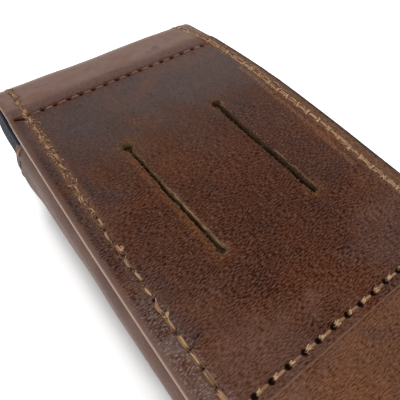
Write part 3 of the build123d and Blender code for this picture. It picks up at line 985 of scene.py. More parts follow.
# fine points along the crease and about the nick
creaseLines = np.concatenate([gridPoints((-38, creaseV + k), (38, creaseV + k + 0.01), (0.8, 1))
                              for k in (-0.55, -0.28, 0, 0.28, 0.55, 0.9)])
nickPoints = gridPoints((-38.6, nick["to"][1] - case["lowY"] - 1.0),
                        (-34.6, nick["from"][1] - case["lowY"] + 1.0), (0.25, 0.25))
coverSheet = {
    "half": case["half"], "gap": 0.9, "thickness": 1.8,
    "relief": coverRelief, "place": onCover, "layers": coverLayers,
}
coverBackSheet = {
    **coverSheet, "length": vSplit, "corner": case["backCorner"], "edgeGap": 0.5,
    "slots": slots["places"],
    "finePoints": [seamPoints(0, vSplit - 0.5), creaseLines, nickPoints],
}
coverBack = leatherSheet("coverBack", coverBackSheet, waxedLeather)
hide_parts("back_cover")

flipped = seamPoints(vSplit + 0.5, vEnd)
flipped[:, 1] = vEnd - flipped[:, 1]
coverFlapSheet = {
    **coverSheet, "length": vEnd - vSplit, "corner": case["flapCorner"], "flipFrom": vEnd,
    "finePoints": [flipped],
}
coverFlap = leatherSheet("coverFlap", coverFlapSheet, waxedLeather)
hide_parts("bridge_cover", "flap_cover")


def bendAtBack(piece):
    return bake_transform(piece)


def bendAtFront(piece):
    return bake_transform(piece)


bendAtBack(coverBack)
bendAtFront(coverFlap)
print("cover cut and folded")


# Strips that follow a line: a thick sheet between an outer and an inner grid of points
def quads(ids):
    # four-sided faces between the rows and columns of a grid of point numbers
    return np.stack([ids[:-1, :-1], ids[1:, :-1], ids[1:, 1:], ids[:-1, 1:]], -1).reshape(-1, 4)


def gridShell(name, grids, layers, material):
    # layers hold an outer and an inner value for each point of the grids
    outer, inner = grids
    count = outer[..., 0].size
    index = np.arange(count).reshape(outer.shape[:2])
    border = np.concatenate([index[0, :-1], index[:-1, -1], index[-1, :0:-1], index[:0:-1, 0]])
    after = np.roll(border, -1)
    faces = [*quads(index).tolist(), *quads(index + count)[:, ::-1].tolist(),
             *np.stack([border, after, after + count, border + count], -1).tolist()]
    doubled = {key: np.concatenate([side.reshape(count, -1) for side in pair]).squeeze()
               for key, pair in layers.items()}
    points = np.concatenate([outer.reshape(-1, 3), inner.reshape(-1, 3)])
    return makeMesh(name, points, faces, doubled, material)


def profileAxes(line):
    # unit normals of a line in Y and Z, to its left
    step = np.gradient(line, axis=0)
    step /= np.linalg.norm(step, axis=1)[:, None]
    return np.stack([-step[:, 1], step[:, 0]], -1)


def edgeRound(inset, width):
    # how deep a rounded edge lies at each point, as a share of the sheet's thickness
    t = 1 - np.clip(inset / width, 0, 1)
    return 0.5 - 0.5 * np.sqrt(np.clip(1 - t**2, 0, 1))


cloth = {"thickness": 0.6, "gap": 1.2, "edge": 1.2, "columns": 61, "foldRadius": 6.2}


def liningSheet(name, line, halfAt):
    # line: the outer face in Y and Z. The cloth hangs on its left side
    line = resample(np.asarray(line, float), cloth["gap"])
    normal = profileAxes(line)
    reach = np.concatenate([[0], np.cumsum(np.hypot(*np.diff(line, axis=0).T))])[:, None]
    across = np.concatenate([[-1], np.linspace(-0.995, 0.995, cloth["columns"]), [1]])
    half = halfAt(line[:, 0], line[:, 1])[:, None]
    x = half * across
    depth = cloth["thickness"] * edgeRound(half - np.abs(x), cloth["edge"])
    lift = swells(x, reach, (0.06, 20, 31), (0.03, 6, 32))

    def face(down):
        y, z = (line[:, k, None] + normal[:, k, None] * (down + lift) for k in (0, 1))
        return settle(np.stack([x, y, z], -1).reshape(-1, 3)).reshape(*x.shape, 3)

    pattern = spread(x, reach, 0.0)
    return gridShell(name, (face(depth), face(cloth["thickness"] - depth)),
                     {"pattern": (pattern, pattern + (0, 0, 3))}, navyLining)


def arc(centre, radius, fromTurn, toTurn, count=16):
    # angles in the YZ plane, from +Y towards +Z
    turns = np.radians(np.linspace(fromTurn, toTurn, count))
    return [(centre[0] + radius * math.cos(t), centre[1] + radius * math.sin(t)) for t in turns]


# Lining of the back: along the pocket, up past the inner leather and round to the end wall
backLine = [(-77.7, 35.4), (52.7, 35.4), (56.2, 35.6), (58.7, 36.3), (61.2, 36.75), (64.1, 36.8),
            (67.0, 37.2), (71.0, 38.1), *arc((74.0, 32.2), cloth["foldRadius"], 90, 0), (80.2, 20.1)]


def backHalf(y, z):
    # wider past the inner leather, and rounded off over the bottom end
    corner = 12
    low = np.clip(-66 - y, 0, corner)
    widened = 37.55 + 1.95 * smooth((y - 56.7) / 3)
    return widened - corner + np.sqrt(np.clip(corner**2 - low**2, 1, corner**2))


liningBack = liningSheet("liningBack", backLine[::-1], backHalf)
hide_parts("back_lining")
bendAtBack(liningBack)

# Lining of the flap: down the end wall, round and over the flap's board, pressed down at its edges
flapLine = [(80.2, 20.1), *arc((74.0, 8.0), cloth["foldRadius"], 0, -90), (73.0, 1.85), (71.5, 2.4),
            (70.0, 3.2), (68.0, 3.6), (-19.4, 3.6)]


def flapHalf(y, z):
    corner = 19.5
    low = np.clip(np.where(z < 4, -0.5 - y, 0), 0, 19)
    return 39.5 - corner + np.sqrt(np.clip(corner**2 - low**2, 4, corner**2))


liningFlap = liningSheet("liningFlap", flapLine[::-1], flapHalf)
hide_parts("bridge_lining", "flap_lining")
bendAtFront(liningFlap)

# Lining on the pocket's floor
liningFront = liningSheet("liningFront", [(-77.7, 7.2), (53.7, 7.2)], backHalf)
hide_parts("front_lining")
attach(liningFront, "case")
print("linings glued in")


# The gusset: one strip round three sides, its edges turned in under the back and the front
gusset = {
    "half": 40.0, "lowY": -80.2, "endY": 57.2, "corner": 14.0,
    "topZ": 36.8, "lowZ": 5.8, "turned": 9.0, "bulge": 1.8, "bend": 4.0, "thickness": 1.4,
    "hemDepth": 3.0, "hemLength": 6.0, "hemRow": 3.0, "hemRowHalf": 11.5,
    # the soft wall leans out high up and in low down, more so towards its open end
    "leanY": (-80, -20, -4, 17, 30, 43, 50, 58),
    "leanHigh": (-0.3, -0.3, -0.1, 0.3, 0.6, 0.8, 1.5, 1.5),
    "leanLow": (-1.4, -1.4, -1.15, -0.8, -0.6, -0.3, -0.1, 0.0),
    # its open ends are rounded over: how far past the end, how far down as a share
    "rounds": ((0.0, 0.0), (0.45, 0.06), (0.75, 0.22), (0.85, 0.5), (0.75, 0.78), (0.45, 0.94),
               (0.0, 1.0)),
}
sideRun = gusset["endY"] - gusset["lowY"] - gusset["corner"]
cornerRun = gusset["corner"] * quarterTurn
lowRun = 2 * (gusset["half"] - gusset["corner"])
gussetRun = 2 * sideRun + 2 * cornerRun + lowRun


def alongGusset(s):
    # place on the panels' outline and the direction out of it, s mm from the left open end
    radius, half = gusset["corner"], gusset["half"]
    turnOne = np.clip((s - sideRun) / radius, 0, quarterTurn)
    turnTwo = np.clip((s - sideRun - cornerRun - lowRun) / radius, 0, quarterTurn)
    turn = turnOne + turnTwo
    x = -half + radius * (1 - np.cos(turnOne)) + np.clip(s - sideRun - cornerRun, 0, lowRun)
    x = x + radius * np.sin(turnTwo)
    y = gusset["endY"] - np.minimum(s, sideRun) - radius * np.sin(turnOne)
    y = y + radius * (1 - np.cos(turnTwo)) + np.maximum(s - gussetRun + sideRun, 0)
    return x, y, np.stack([-np.cos(turn), -np.sin(turn)], -1)


def wallLean(y, z):
    # how far out of its straight place the wall stands
    high = np.interp(y, gusset["leanY"], gusset["leanHigh"])
    low = np.interp(y, gusset["leanY"], gusset["leanLow"])
    return (low + (high - low) * smooth((z - 10) / 17)) * smooth((35.5 - z) / 8.5)


def gussetSection():
    # out from the outline, up, and the direction away, as rows
    bend, bulge = gusset["bend"], gusset["bulge"]
    centre, middleUp = bulge - bend, gusset["topZ"] - bend
    halfWall = (middleUp - gusset["lowZ"] - bend) / 2
    top = [(o, gusset["topZ"], 0, 1) for o in np.linspace(-gusset["turned"], centre, 8)]
    top += [(centre + bend * math.cos(t), middleUp + bend * math.sin(t), math.cos(t), math.sin(t))
            for t in np.radians(np.linspace(90, 0, 11))[1:]]
    top += [(bulge, z, 1, 0) for z in np.linspace(middleUp, middleUp - halfWall, 13)[1:]]
    lower = np.array(top[:-1][::-1]) * (1, -1, 1, -1)
    lower[:, 1] += gusset["topZ"] + gusset["lowZ"]
    return np.concatenate([top, lower])


def gussetGrids():
    # the outer skin with its rounded ends, the inner skin between them, and the pattern
    away, up, outWay, upWay = gussetSection().T
    midZ = (gusset["topZ"] + gusset["lowZ"]) / 2
    stops = np.concatenate([np.linspace(0, 12, 25), np.arange(13, sideRun, 1.6)])
    middle = np.arange(sideRun, gussetRun - sideRun, 1.0)
    s = np.concatenate([stops, middle, gussetRun - stops[::-1]])
    x, y, out = alongGusset(s)
    fromEnd = np.minimum(s, gussetRun - s)[:, None]
    onWall = smooth((away - (gusset["bulge"] - gusset["bend"])) / gusset["bend"] * 1.2)
    ripples = 0.10 * ripple(s[:, None], up, 24, 41)
    hem = smooth((gusset["hemLength"] - fromEnd) / 0.8)
    row = 0.22 * ridge(fromEnd - gusset["hemRow"], 0.8) * (np.abs(up - midZ) < gusset["hemRowHalf"])
    wallLift = (wallLean(y[:, None], up) + ripples - row) * onWall
    thick = gusset["thickness"] + (gusset["hemDepth"] - gusset["thickness"]) * hem * onWall

    def grid(lift, beyond=0.0):
        # the strip's points, lifted off its skin and pushed past its ends
        reach = away + outWay * lift
        push = np.where((s == 0) | (s == gussetRun), beyond, 0)
        return spread(x[:, None] + out[:, :1] * reach, (y + push)[:, None] + out[:, 1:] * reach,
                      up + upWay * lift)

    rounds = gusset["rounds"]
    ends = [grid(wallLift - thick * share, beyond) for beyond, share in rounds]
    outer = [end[0] for end in ends[::-1]] + list(grid(wallLift)[1:-1]) + [end[-1] for end in ends]
    inner = grid(wallLift - thick)[1:-1]
    past = np.array([beyond for beyond, _ in rounds])
    along = np.concatenate([-past[::-1], s[1:-1], gussetRun + past])
    return np.stack(outer), inner, spread(along[:, None], up, 0.0)


def makeGusset():
    outer, inner, pattern = gussetGrids()
    rows, columns = outer.shape[:2]
    padding = len(gusset["rounds"]) - 1
    points = np.concatenate([outer.reshape(-1, 3), inner.reshape(-1, 3)])
    index = np.arange(rows * columns).reshape(rows, columns)
    # the inner skin starts and ends at the last row of each rounded end
    other = rows * columns + np.arange(inner[..., 0].size).reshape(-1, columns)
    other = np.concatenate([index[:1], other, index[-1:]])
    faces = [*quads(index).tolist(), *quads(other).tolist()]
    core = index[padding:rows - padding]
    for column in (0, -1):
        a, b = core[:, column], other[:, column]
        faces += np.stack([a[:-1], a[1:], b[1:], b[:-1]], -1).tolist()
        faces += [[*index[:padding + 1, column]], [*index[rows - padding - 1:, column]]]
    innerPattern = pattern[padding + 1:rows - padding - 1]
    layers = {"pattern": np.concatenate([pattern.reshape(-1, 3), innerPattern.reshape(-1, 3) + 9]),
              "raw": np.zeros(len(points))}
    return makeMesh("gussetStrip", settle(points), faces, layers, sideLeather)


gussetStrip = makeGusset()
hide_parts("gusset")
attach(gussetStrip, "case")

# Behind the wall: how far their ends lie from the gusset's, their heights, rows and two faces
wallLining = {"ends": (5.0, 6.0), "rise": (7.9, 34.7, 19), "faces": (-1.2, -0.62), "wave": 0.04}
wallBoard = {"ends": (0.8, 2.0), "rise": (9.9, 32.7, 15), "faces": (0.36, -0.56), "wave": 0.0}


def behindWall(name, look, material):
    # a thin layer behind the gusset's wall, bent with it
    first, second = look["ends"]
    s = np.concatenate([[first], np.arange(second, gussetRun - second, 1.5), [gussetRun - first]])
    up = np.linspace(*look["rise"])
    x, y, out = alongGusset(s)
    grids = []
    for face in look["faces"]:
        reach = face + look["wave"] * ripple(s[:, None], up, 14, 51) + wallLean(y[:, None], up)
        grids.append(spread(x[:, None] + out[:, :1] * reach, y[:, None] + out[:, 1:] * reach, up))
    pattern = spread(s[:, None], up, 0.0)
    return gridShell(name, grids, {"pattern": (pattern, pattern + 5)}, material)


liningGusset = behindWall("liningGusset", wallLining, navyLining)
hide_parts("gusset_lining")
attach(liningGusset, "case")

boardGusset = behindWall("boardGusset", wallBoard, greyBoard)
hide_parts("gusset_board")
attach(boardGusset, "case")

# Lined tabs that stand out of the gusset's open ends, beside the mouth
tab = {"fromY": 56.0, "toY": 77.0, "lowZ": 9.8, "highZ": 36.3, "corner": 3.4, "thickness": 1.6,
       "outY": (56, 58, 68, 77), "out": (1.9, 2.2, 2.0, 1.6), "edge": 0.7, "turnedIn": 1.35}


def makeTab(side):
    ys = np.concatenate([np.arange(tab["fromY"], tab["toY"] - 0.6, 0.6),
                         tab["toY"] - np.array([0.6, 0.4, 0.2, 0.08, 0.0])])[:, None]
    share = 0.5 - 0.5 * np.cos(np.linspace(0, math.pi, 35))
    # the far corners are rounded in the tab's own outline
    short = np.maximum(ys - tab["toY"] + tab["corner"], 0)
    trim = tab["corner"] - np.sqrt(np.maximum(tab["corner"] ** 2 - short**2, 0.3))
    low, high = tab["lowZ"] + trim, tab["highZ"] - trim
    z = low + (high - low) * share
    y = ys + 0 * z
    fromEdge = np.minimum.reduce([z - low, high - z, tab["toY"] - y])
    flare = 0.7 + 0.3 * smooth((z - 14) / 16)
    middle = gusset["half"] + np.interp(y, tab["outY"], tab["out"]) * flare
    # its upper edge turns back in, under the back
    middle = middle - tab["turnedIn"] * smooth((z - 30.5) / 5.8)
    middle = middle - tab["thickness"] / 2 + 0.10 * ripple(y, z, 11, 54 + side)
    depth = tab["thickness"] * (0.5 - edgeRound(fromEdge, tab["edge"]))
    grids = [np.stack([side * (middle + face * depth), y, z], -1) for face in (1, -1)]
    pattern = spread(y, z, 0.0)
    return gridShell("mouthTab" + ("Right" if side > 0 else "Left"), grids,
                     {"pattern": (pattern, pattern + 6)}, navyLining)


for side in (-1, 1):
    mouthTab = makeTab(side)
    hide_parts("mouth_tabs")
    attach(mouthTab, "case")
print("gusset bent round")


# Leather behind the cover, seen through the belt slots
def innerPlace(x, v, out):
    return settle(np.stack([x, case["lowY"] + v, 38.35 + out], -1))


def innerRelief(x, v):
    # pressed down behind the slots
    nearest = np.minimum(*[slotDistance(x, v, slot) for slot in slots["places"]])
    return 0.02 * ripple(x, v, 9, 61) - 0.5 * smooth((6 - nearest) / 5)


innerBackSheet = {
    "half": case["half"], "length": 144.7, "corner": case["backCorner"], "gap": 2.5,
    "thickness": 1.55, "place": innerPlace, "relief": innerRelief, "layers": coverLayers,
    "finePoints": [],
}
innerBack = leatherSheet("innerBack", innerBackSheet, waxedLeather)
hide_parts("inner_back")
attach(innerBack, "case")

# Front of the pocket, under the flap
front = {"mouthY": 54.7, "outerZ": 4.0, "thickness": 1.8, "seamInset": 4.8, "rowIn": 3.0,
         "rowHalf": 30.8, "rowCount": 15}
magnets = {"x": 18.0, "y": -4.0, "radius": 6.0}
frontLength = front["mouthY"] - case["lowY"]
frontRowV = frontLength - front["rowIn"]


def frontSeamLine():
    inset = front["seamInset"]
    half, bend = case["half"] - inset, case["backCorner"] - inset
    angles = np.linspace(0, quarterTurn, 40)
    corner = np.stack([half - bend + bend * np.cos(angles), inset + bend - bend * np.sin(angles)], -1)
    line = np.concatenate([[(half, frontRowV)], corner, corner[::-1] * (-1, 1), [(-half, frontRowV)]])
    return resample(line, seams["pitch"])


frontSeam = frontSeamLine()
mouthHoles = spread(np.linspace(-front["rowHalf"], front["rowHalf"], front["rowCount"]), frontRowV)
frontHoles = np.concatenate([frontSeam, mouthHoles])


def overMagnets(x, y):
    gap = np.hypot(np.abs(x) - magnets["x"], y - magnets["y"])
    return smooth((magnets["radius"] + 1.2 - gap) / 1.6)


def frontInset(x, v):
    return roundedInset(x, v, case["half"], 0, 3 * frontLength, case["backCorner"],
                        case["backCorner"])


def frontRelief(x, v):
    inset = frontInset(x, v)
    out = swells(x, v, (0.07, 40, 71), (0.03, 12, 72))
    out -= 0.28 * ridge(inset - front["seamInset"], 1.1)
    out -= 0.24 * ridge(v - frontRowV, 0.8) * (np.abs(x) < 33)
    out -= 0.5 * ridge(nearestHole(x, v, frontHoles), 0.42)
    out -= 0.25 * smooth((2.0 - inset) / 2.2)
    return out + 0.07 * overMagnets(x, v + case["lowY"])


def frontLayers(x, v):
    inset = frontInset(x, v)
    return {**bareLayers(x.shape), "inset": inset,
            "fromSeam": np.clip(inset - front["seamInset"], -9, farthest),
            "fromHole": np.clip(nearestHole(x, v, frontHoles) + 0.22, 0, farthest)}


def onFront(x, v, out):
    return np.stack([x, case["lowY"] + v, front["outerZ"] - out], -1)


frontSheet = {
    "half": case["half"], "length": frontLength, "corner": case["backCorner"], "gap": 1.2,
    "thickness": front["thickness"], "relief": frontRelief, "place": onFront,
    "layers": frontLayers, "finePoints": [ringsAbout(frontHoles)],
}
frontPanel = leatherSheet("frontPanel", frontSheet, waxedLeather)
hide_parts("front_panel")
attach(frontPanel, "case")


# The mouth's edge: the leather is turned over the board and the lining
mouth = {"half": 30.2, "columns": 80, "gap": 0.35, "depth": 0.9}


def mouthEdge():
    line = [(53.9, 4.05), (54.7, 4.15), (55.25, 4.7), (55.4, 5.9), (55.25, 7.2), (54.7, 7.85),
            (53.9, 8.0), (49.2, 7.98)]
    line = resample(np.array(line), mouth["gap"])
    out = -profileAxes(line)
    x = np.linspace(-mouth["half"], mouth["half"], mouth["columns"])
    wave = 0.04 * ripple(x[None, :], line[:, 1:], 8, 81)
    grids = []
    for depth in (0.0, mouth["depth"]):
        y, z = (line[:, k, None] + out[:, k, None] * (wave - depth) for k in (0, 1))
        grids.append(spread(x, y, z))
    along = frontLength + mouth["gap"] * np.arange(len(line))
    pattern = spread(x, along[:, None], 0.0)
    layers = {key: (values, values) for key, values in bareLayers(wave.shape).items()}
    layers.update({"pattern": (pattern, pattern + 4), "raw": (0 * wave, 0 * wave)})
    return gridShell("mouthTurnover", grids, layers, waxedLeather)


mouthTurnover = mouthEdge()
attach(mouthTurnover, "case")
print("front and inner back laid in")

# Thread
thread = {"width": 0.95, "height": 0.52, "lift": 0.30, "dive": 0.85, "plies": 3, "plyDepth": 0.11,
          "twist": 2.2}


class Sewing:
    # collects stitches that lie on one surface, then makes them into one piece
    def __init__(self, surface, seed):
        self.surface = surface
        self.rng = np.random.default_rng(seed)
        self.points, self.faces, self.pattern, self.tint = [], [], [], []
        self.count = 0

    def stitch(self, start, end, width=1.0, lift=1.0, bow=0.0, tint=0.5, dive=1.0,
               sections=11, sides=9):
        t = np.linspace(0, 1, sections)
        edge = np.abs(2 * t - 1)
        up = thread["lift"] * lift * (1 - edge**3) - thread["dive"] * dive * edge**7
        wide = thread["width"] / 2 * width * (1 - 0.35 * edge**4)
        tall = thread["height"] / 2 * (1 - 0.25 * edge**4) * (0.15 + 0.85 * width)
        self.tube(start, end, t, up, wide, tall, bow, tint, sides, thread["plyDepth"])

    def fibre(self, start, end, *sizes):
        # one loose hair, close over the surface: its width, rise and tint, or ranges of them
        width, rise, tint = (self.rng.uniform(*size) if isinstance(size, tuple) else size
                             for size in sizes)
        t = np.linspace(0, 1, 5)
        up = 0.04 + rise * np.sin(math.pi * np.minimum(t * 1.25, 1))
        wide = width / 2 * (1 - 0.6 * t**2)
        self.tube(start, end, t, up, wide, wide, self.rng.normal(0, 0.18), tint, 4, 0.0)

    def tube(self, start, end, t, up, wide, tall, bow, tint, sides, plyDepth):
        start, end = np.asarray(start, float), np.asarray(end, float)
        run = end - start
        length = np.hypot(*run)
        side = np.array([-run[1], run[0]]) / length
        flat = start + run * t[:, None] + side * (bow * np.sin(math.pi * t))[:, None]
        centre, across, along, away = self.surface(flat[:, 0], flat[:, 1], up)
        sideways = across * side[0] + along * side[1]
        turns = np.linspace(0, 2 * math.pi, sides, endpoint=False)
        twist = self.rng.uniform(0, 6) + t[:, None] * thread["twist"] * length / 3.4
        bump = 1 + plyDepth * np.cos(thread["plies"] * (turns - twist))
        ring = (sideways[:, None] * (np.cos(turns) * bump * wide[:, None])[..., None]
                + away[:, None] * (np.sin(turns) * bump * tall[:, None])[..., None])
        index = self.count + np.arange(len(t) * sides).reshape(-1, sides)
        self.faces += quads(np.hstack([index, index[:, :1]])).tolist()
        self.faces += [index[0][::-1].tolist(), index[-1].tolist()]
        self.points.append((centre[:, None] + ring).reshape(-1, 3))
        alongStitch = t[:, None] * length + self.rng.uniform(0, 40)
        self.pattern.append(spread(alongStitch, turns * 0.45 + twist * 0.3, 0.0).reshape(-1, 3))
        self.tint.append(np.full(index.size, tint))
        self.count += index.size

    def mesh(self, name, finish):
        layers = {"pattern": np.concatenate(self.pattern), "tint": np.concatenate(self.tint)}
        return makeMesh(name, np.concatenate(self.points), self.faces, layers, finish)

    def piece(self, name, nodes, bind, finish=tanThread):
        made = self.mesh(name, finish)
        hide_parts(*nodes)
        bind(made)


class Stretch:
    # from one hole to the next: run is the way along, side the way to its left
    def __init__(self, one, two):
        self.one, self.two = one, two
        self.length = np.hypot(*(two - one))
        self.run = (two - one) / self.length
        self.side = np.array([-self.run[1], self.run[0]])

    def at(self, share, aside=0.0):
        return self.one + (self.two - self.one) * share + self.side * aside

    def along(self, turn, length):
        # a short way, turned so far out of the run
        return (self.run * math.cos(turn) + self.side * math.sin(turn)) * length

    def across(self, turn, length):
        # the same, turned out of the side
        return (self.side * math.cos(turn) + self.run * math.sin(turn)) * length


def ridesCase(piece):
    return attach(piece, "case")


def coverSurface(x, v, up):
    out = coverRelief(x, v) + up
    # on the flap the thread lies in its groove, below the leather's skin
    out = np.where(v > vWallEnd, np.minimum(out, -0.30), out)
    return (onCover(x, v, out), *coverAxes(v))


def frontSurface(x, v, up):
    one = np.ones_like(x)
    return (onFront(x, v, frontRelief(x, v) + up), spread(one, 0.0, 0.0), spread(0.0, one, 0.0),
            spread(0.0, 0.0, -one))


# How each stretch of the cover's seam was sewn, and how rough it has become
sewn = {
    "sideX": 20,  # the long sides of the back lie past this
    "leftTangleY": (12, 30),  # above this the left side is a tangle of short strands
    "leftFlatY": (-22, -10),  # below this it is long flat stitches
    "rightPartY": (12, 30),  # above this the right side is two lines of thread
    "knots": ((-33.7, 5.2), (-34.1, -14.2)),
    "knotStrands": 9,
    "fuzzPerStitch": 7,
    "napPerStitch": 8,
}


def softShare(y, limits):
    return float(smooth((y - limits[0]) / (limits[1] - limits[0])))


def howSewn(part):
    # which long side it is on, how tangled or flat it is there, and how far its two lines part
    x, v = (part.one + part.two) / 2
    y = v + case["lowY"]
    onBack = v < vFold + 6
    left, right = x < -sewn["sideX"] and onBack, x > sewn["sideX"] and onBack
    tangle = softShare(y, sewn["leftTangleY"]) if left else 0.0
    flat = softShare(y, sewn["leftFlatY"][::-1]) if left else 0.0
    return left, right, tangle, flat, 0.3 + 0.7 * softShare(y, sewn["rightPartY"])


def longStitch(sewing, part, left, right, tangle, flat):
    # every stretch draws these numbers, also where the braid on the right takes their place
    rng = sewing.rng
    uneven = (1 - flat) if left else 0.4
    jitter = part.side * rng.normal(0, 0.06 + 0.14 * uneven, 2)[:, None]
    gap = 0.06 + 0.10 * uneven * (not right) + 0.06 * tangle
    width = rng.uniform(0.88, 1.05) if flat > 0.5 else rng.uniform(0.66, 0.92)
    if right:
        width = rng.uniform(0.50, 0.66)
    start = part.at(gap + rng.uniform(0, 0.05) * uneven) + jitter[0]
    end = part.at(1 - gap) + jitter[1]
    bow = rng.normal(0, 0.05 + 0.16 * uneven)
    if rng.uniform() <= 0.25 * tangle or right:
        return
    # the plies have parted: strands side by side, worn uneven
    for k in (-1, 1, -0.5, 0.5, 0):
        apart = part.side * ((0.40 + 0.14 * flat) * width * k + rng.normal(0, 0.07))
        slip = part.run * rng.normal(0, 0.20, 2)[:, None]
        sewing.stitch(start + apart + slip[0], end + apart + slip[1],
                      width=rng.uniform(0.24, 0.36) + 0.08 * tangle + 0.16 * flat,
                      tint=rng.uniform(0.15, 0.85) + 0.25 * (k == 0) - 0.25 * (abs(k) == 1)
                      - 0.12 * flat,
                      bow=bow + rng.normal(0, 0.13),
                      lift=rng.uniform(0.6, 1.2) + 0.5 * (abs(k) < 0.6) + 0.3 * (k == 0))
    # dark hairs of the hide close over the ends of each long stitch
    for _ in range(rng.poisson(7 * flat) if flat > 0 else 0):
        foot = part.one + part.run * rng.normal(0, 0.35) + part.side * rng.normal(0, 0.45)
        turn = rng.uniform(0.2, 0.9) * rng.choice((-1, 1)) + math.pi * (rng.uniform() < 0.5)
        reach = part.along(turn, rng.uniform(0.3, 0.8))
        sewing.fibre(foot - reach / 2, foot + reach / 2, (0.16, 0.26), (0.5, 0.9), (-0.4, 0.6))


def braid(sewing, part, apart):
    # two lines of thread side by side high up, drawn closer together lower down
    rng = sewing.rng
    for k in (-1, 1):
        off = part.side * (k * (0.10 + 0.55 * apart) + rng.normal(0, 0.08 + 0.14 * apart))
        sewing.stitch(part.at(0.08) + off, part.at(0.92) + off,
                      width=0.46 - 0.10 * apart, lift=rng.uniform(0.6, 1.1), dive=0.6,
                      tint=rng.uniform(0.5, 1.0), bow=rng.normal(0, 0.07 + 0.07 * apart))
    # and crossed over itself at every hole, where pale ends stand up
    for k in (-1, 1, -1):
        slant = part.run * rng.uniform(0.2, 0.7) + part.side * k * rng.uniform(0.8, 1.2)
        foot = part.one + part.run * rng.normal(0, 0.25) - part.side * rng.uniform(-0.1, 0.3)
        sewing.stitch(foot - slant, foot + slant, width=rng.uniform(0.34, 0.46), lift=1.5,
                      tint=rng.uniform(1.0, 1.35), dive=0.4, sections=8, sides=6)


def looseStrands(sewing, part, look):
    # short strands that wander about the seam
    rng = sewing.rng
    for _ in range(rng.poisson(look["count"] * part.length / seams["pitch"])):
        foot = part.at(rng.uniform(-0.1, 1.1), rng.normal(0, look["wander"]))
        reach = part.along(rng.normal(0, look["swerve"]), rng.uniform(0.3, 0.85))
        sewing.stitch(foot - reach, foot + reach, width=rng.uniform(0.18, 0.32) + look["wider"],
                      lift=rng.uniform(0.3, 1.2), bow=rng.normal(0, 0.08),
                      tint=rng.uniform(*look["tints"]), dive=0.3, sections=6, sides=6)


def nap(sewing, part):
    # the margin outside the right seam is rubbed into short pale nap
    rng = sewing.rng
    outside = part.side if part.at(0.5)[0] * part.side[0] > 0 else -part.side
    for _ in range(rng.poisson(sewn["napPerStitch"])):
        foot = part.at(rng.uniform()) + outside * rng.uniform(0.7, 2.3)
        reach = part.across(rng.uniform(0, 2 * math.pi), rng.uniform(0.15, 0.45))
        sewing.fibre(foot, foot + reach, (0.14, 0.24), (0.05, 0.15), (-0.6, 1.1))


def raisedHairs(sewing, part, band, density):
    # hairs raised out of the leather and the thread on both sides
    rng = sewing.rng
    for _ in range(rng.poisson(sewn["fuzzPerStitch"] * density)):
        foot = part.at(rng.uniform(), rng.normal(0, band * 0.62))
        turn = rng.uniform(-1.3, 1.3) + (math.pi if rng.uniform() < 0.5 else 0)
        reach = part.across(turn, rng.uniform(0.4, 1.2))
        sewing.fibre(foot, foot + reach, (0.11, 0.18), (0.08, 0.32), (-0.1, 0.7))


def knotted(sewing, middle):
    rng = sewing.rng
    for _ in range(sewn["knotStrands"]):
        turn = rng.uniform(0, math.pi)
        reach = np.array([math.cos(turn), math.sin(turn)]) * rng.uniform(0.4, 0.75)
        foot = middle + rng.normal(0, 0.16, 2)
        sewing.stitch(foot - reach, foot + reach, width=rng.uniform(0.3, 0.5),
                      lift=rng.uniform(1.2, 2.6), bow=rng.normal(0, 0.2),
                      tint=rng.uniform(0.6, 1.2), dive=0.5, sections=8)


def sewCover(low, high, name, nodes, bind, seed):
    sewing = Sewing(coverSurface, seed)
    for one, two in zip(perimeter, perimeter[1:]):
        if not low < (one[1] + two[1]) / 2 < high:
            continue
        part = Stretch(one, two)
        left, right, tangle, flat, apart = howSewn(part)
        longStitch(sewing, part, left, right, tangle, flat)
        if left:
            # a tangle high on the left
            looseStrands(sewing, part, {
                "count": 3.0 + 19 * tangle, "wander": 0.3 + 0.22 * tangle,
                "swerve": 0.35 + 0.35 * tangle, "wider": 0.12 * tangle,
                "tints": (0.0, 0.9) if tangle < 0.5 else (-0.15, 0.85)})
            raisedHairs(sewing, part, 1.1, 1.4 + 1.6 * tangle)
        if right:
            # a ragged braid on the right
            braid(sewing, part, apart)
            looseStrands(sewing, part, {
                "count": 5 + 7 * apart, "wander": 0.35 + 0.45 * apart, "swerve": 1.0,
                "wider": -0.05, "tints": (0.3, 1.1)})
            nap(sewing, part)
            raisedHairs(sewing, part, 1.5, 2.0)
    for knot in sewn["knots"]:
        middle = np.array(knot) - (0, case["lowY"])
        if low < middle[1] < high:
            knotted(sewing, middle)
    sewing.piece(name, nodes, bind)


sewCover(0, vSplit - 0.5, "threadBack", ["back_seam", "bridge_seams"], bendAtBack, 101)
sewCover(vSplit - 0.5, vEnd, "threadFlap", ["flap_seam"], bendAtFront, 102)


def sewRow(holes, surface, name, nodes, seed, look, finish=tanThread):
    sewing = Sewing(surface, seed)
    rng = sewing.rng
    for one, two in zip(holes, holes[1:]):
        part = Stretch(one, two)
        sewing.stitch(part.at(look["gap"]), part.at(1 - look["gap"]), width=look["width"],
                      lift=look["lift"], tint=rng.uniform(*look["tint"]),
                      bow=rng.normal(0, 0.05))
        if not look["bright"]:
            continue
        # the strand rises out of its hole at a slant, painted pale as a highlight
        for k in range(5):
            foot = one + part.run * rng.uniform(0.45, 0.75) + part.side * (0.34 - 0.17 * k)
            tip = foot + part.run * rng.uniform(0.6, 1.7) + part.side * rng.uniform(0.0, 0.4)
            sewing.stitch(foot, tip, width=rng.uniform(0.17, 0.30), lift=look["lift"] + 1.0,
                          tint=look["bright"] - 0.25 * rng.uniform() * k, dive=0.5, sections=7,
                          sides=6)
        for _ in range(8):
            foot = one + part.run * rng.uniform(0.3, 1.7) + part.side * rng.normal(0, 0.4)
            tip = foot + part.run * rng.uniform(0.2, 0.8) + part.side * rng.normal(0, 0.4)
            sewing.fibre(foot, tip, 0.14, 0.15, (0.1, 1.0))
    sewing.piece(name, nodes, ridesCase, finish)


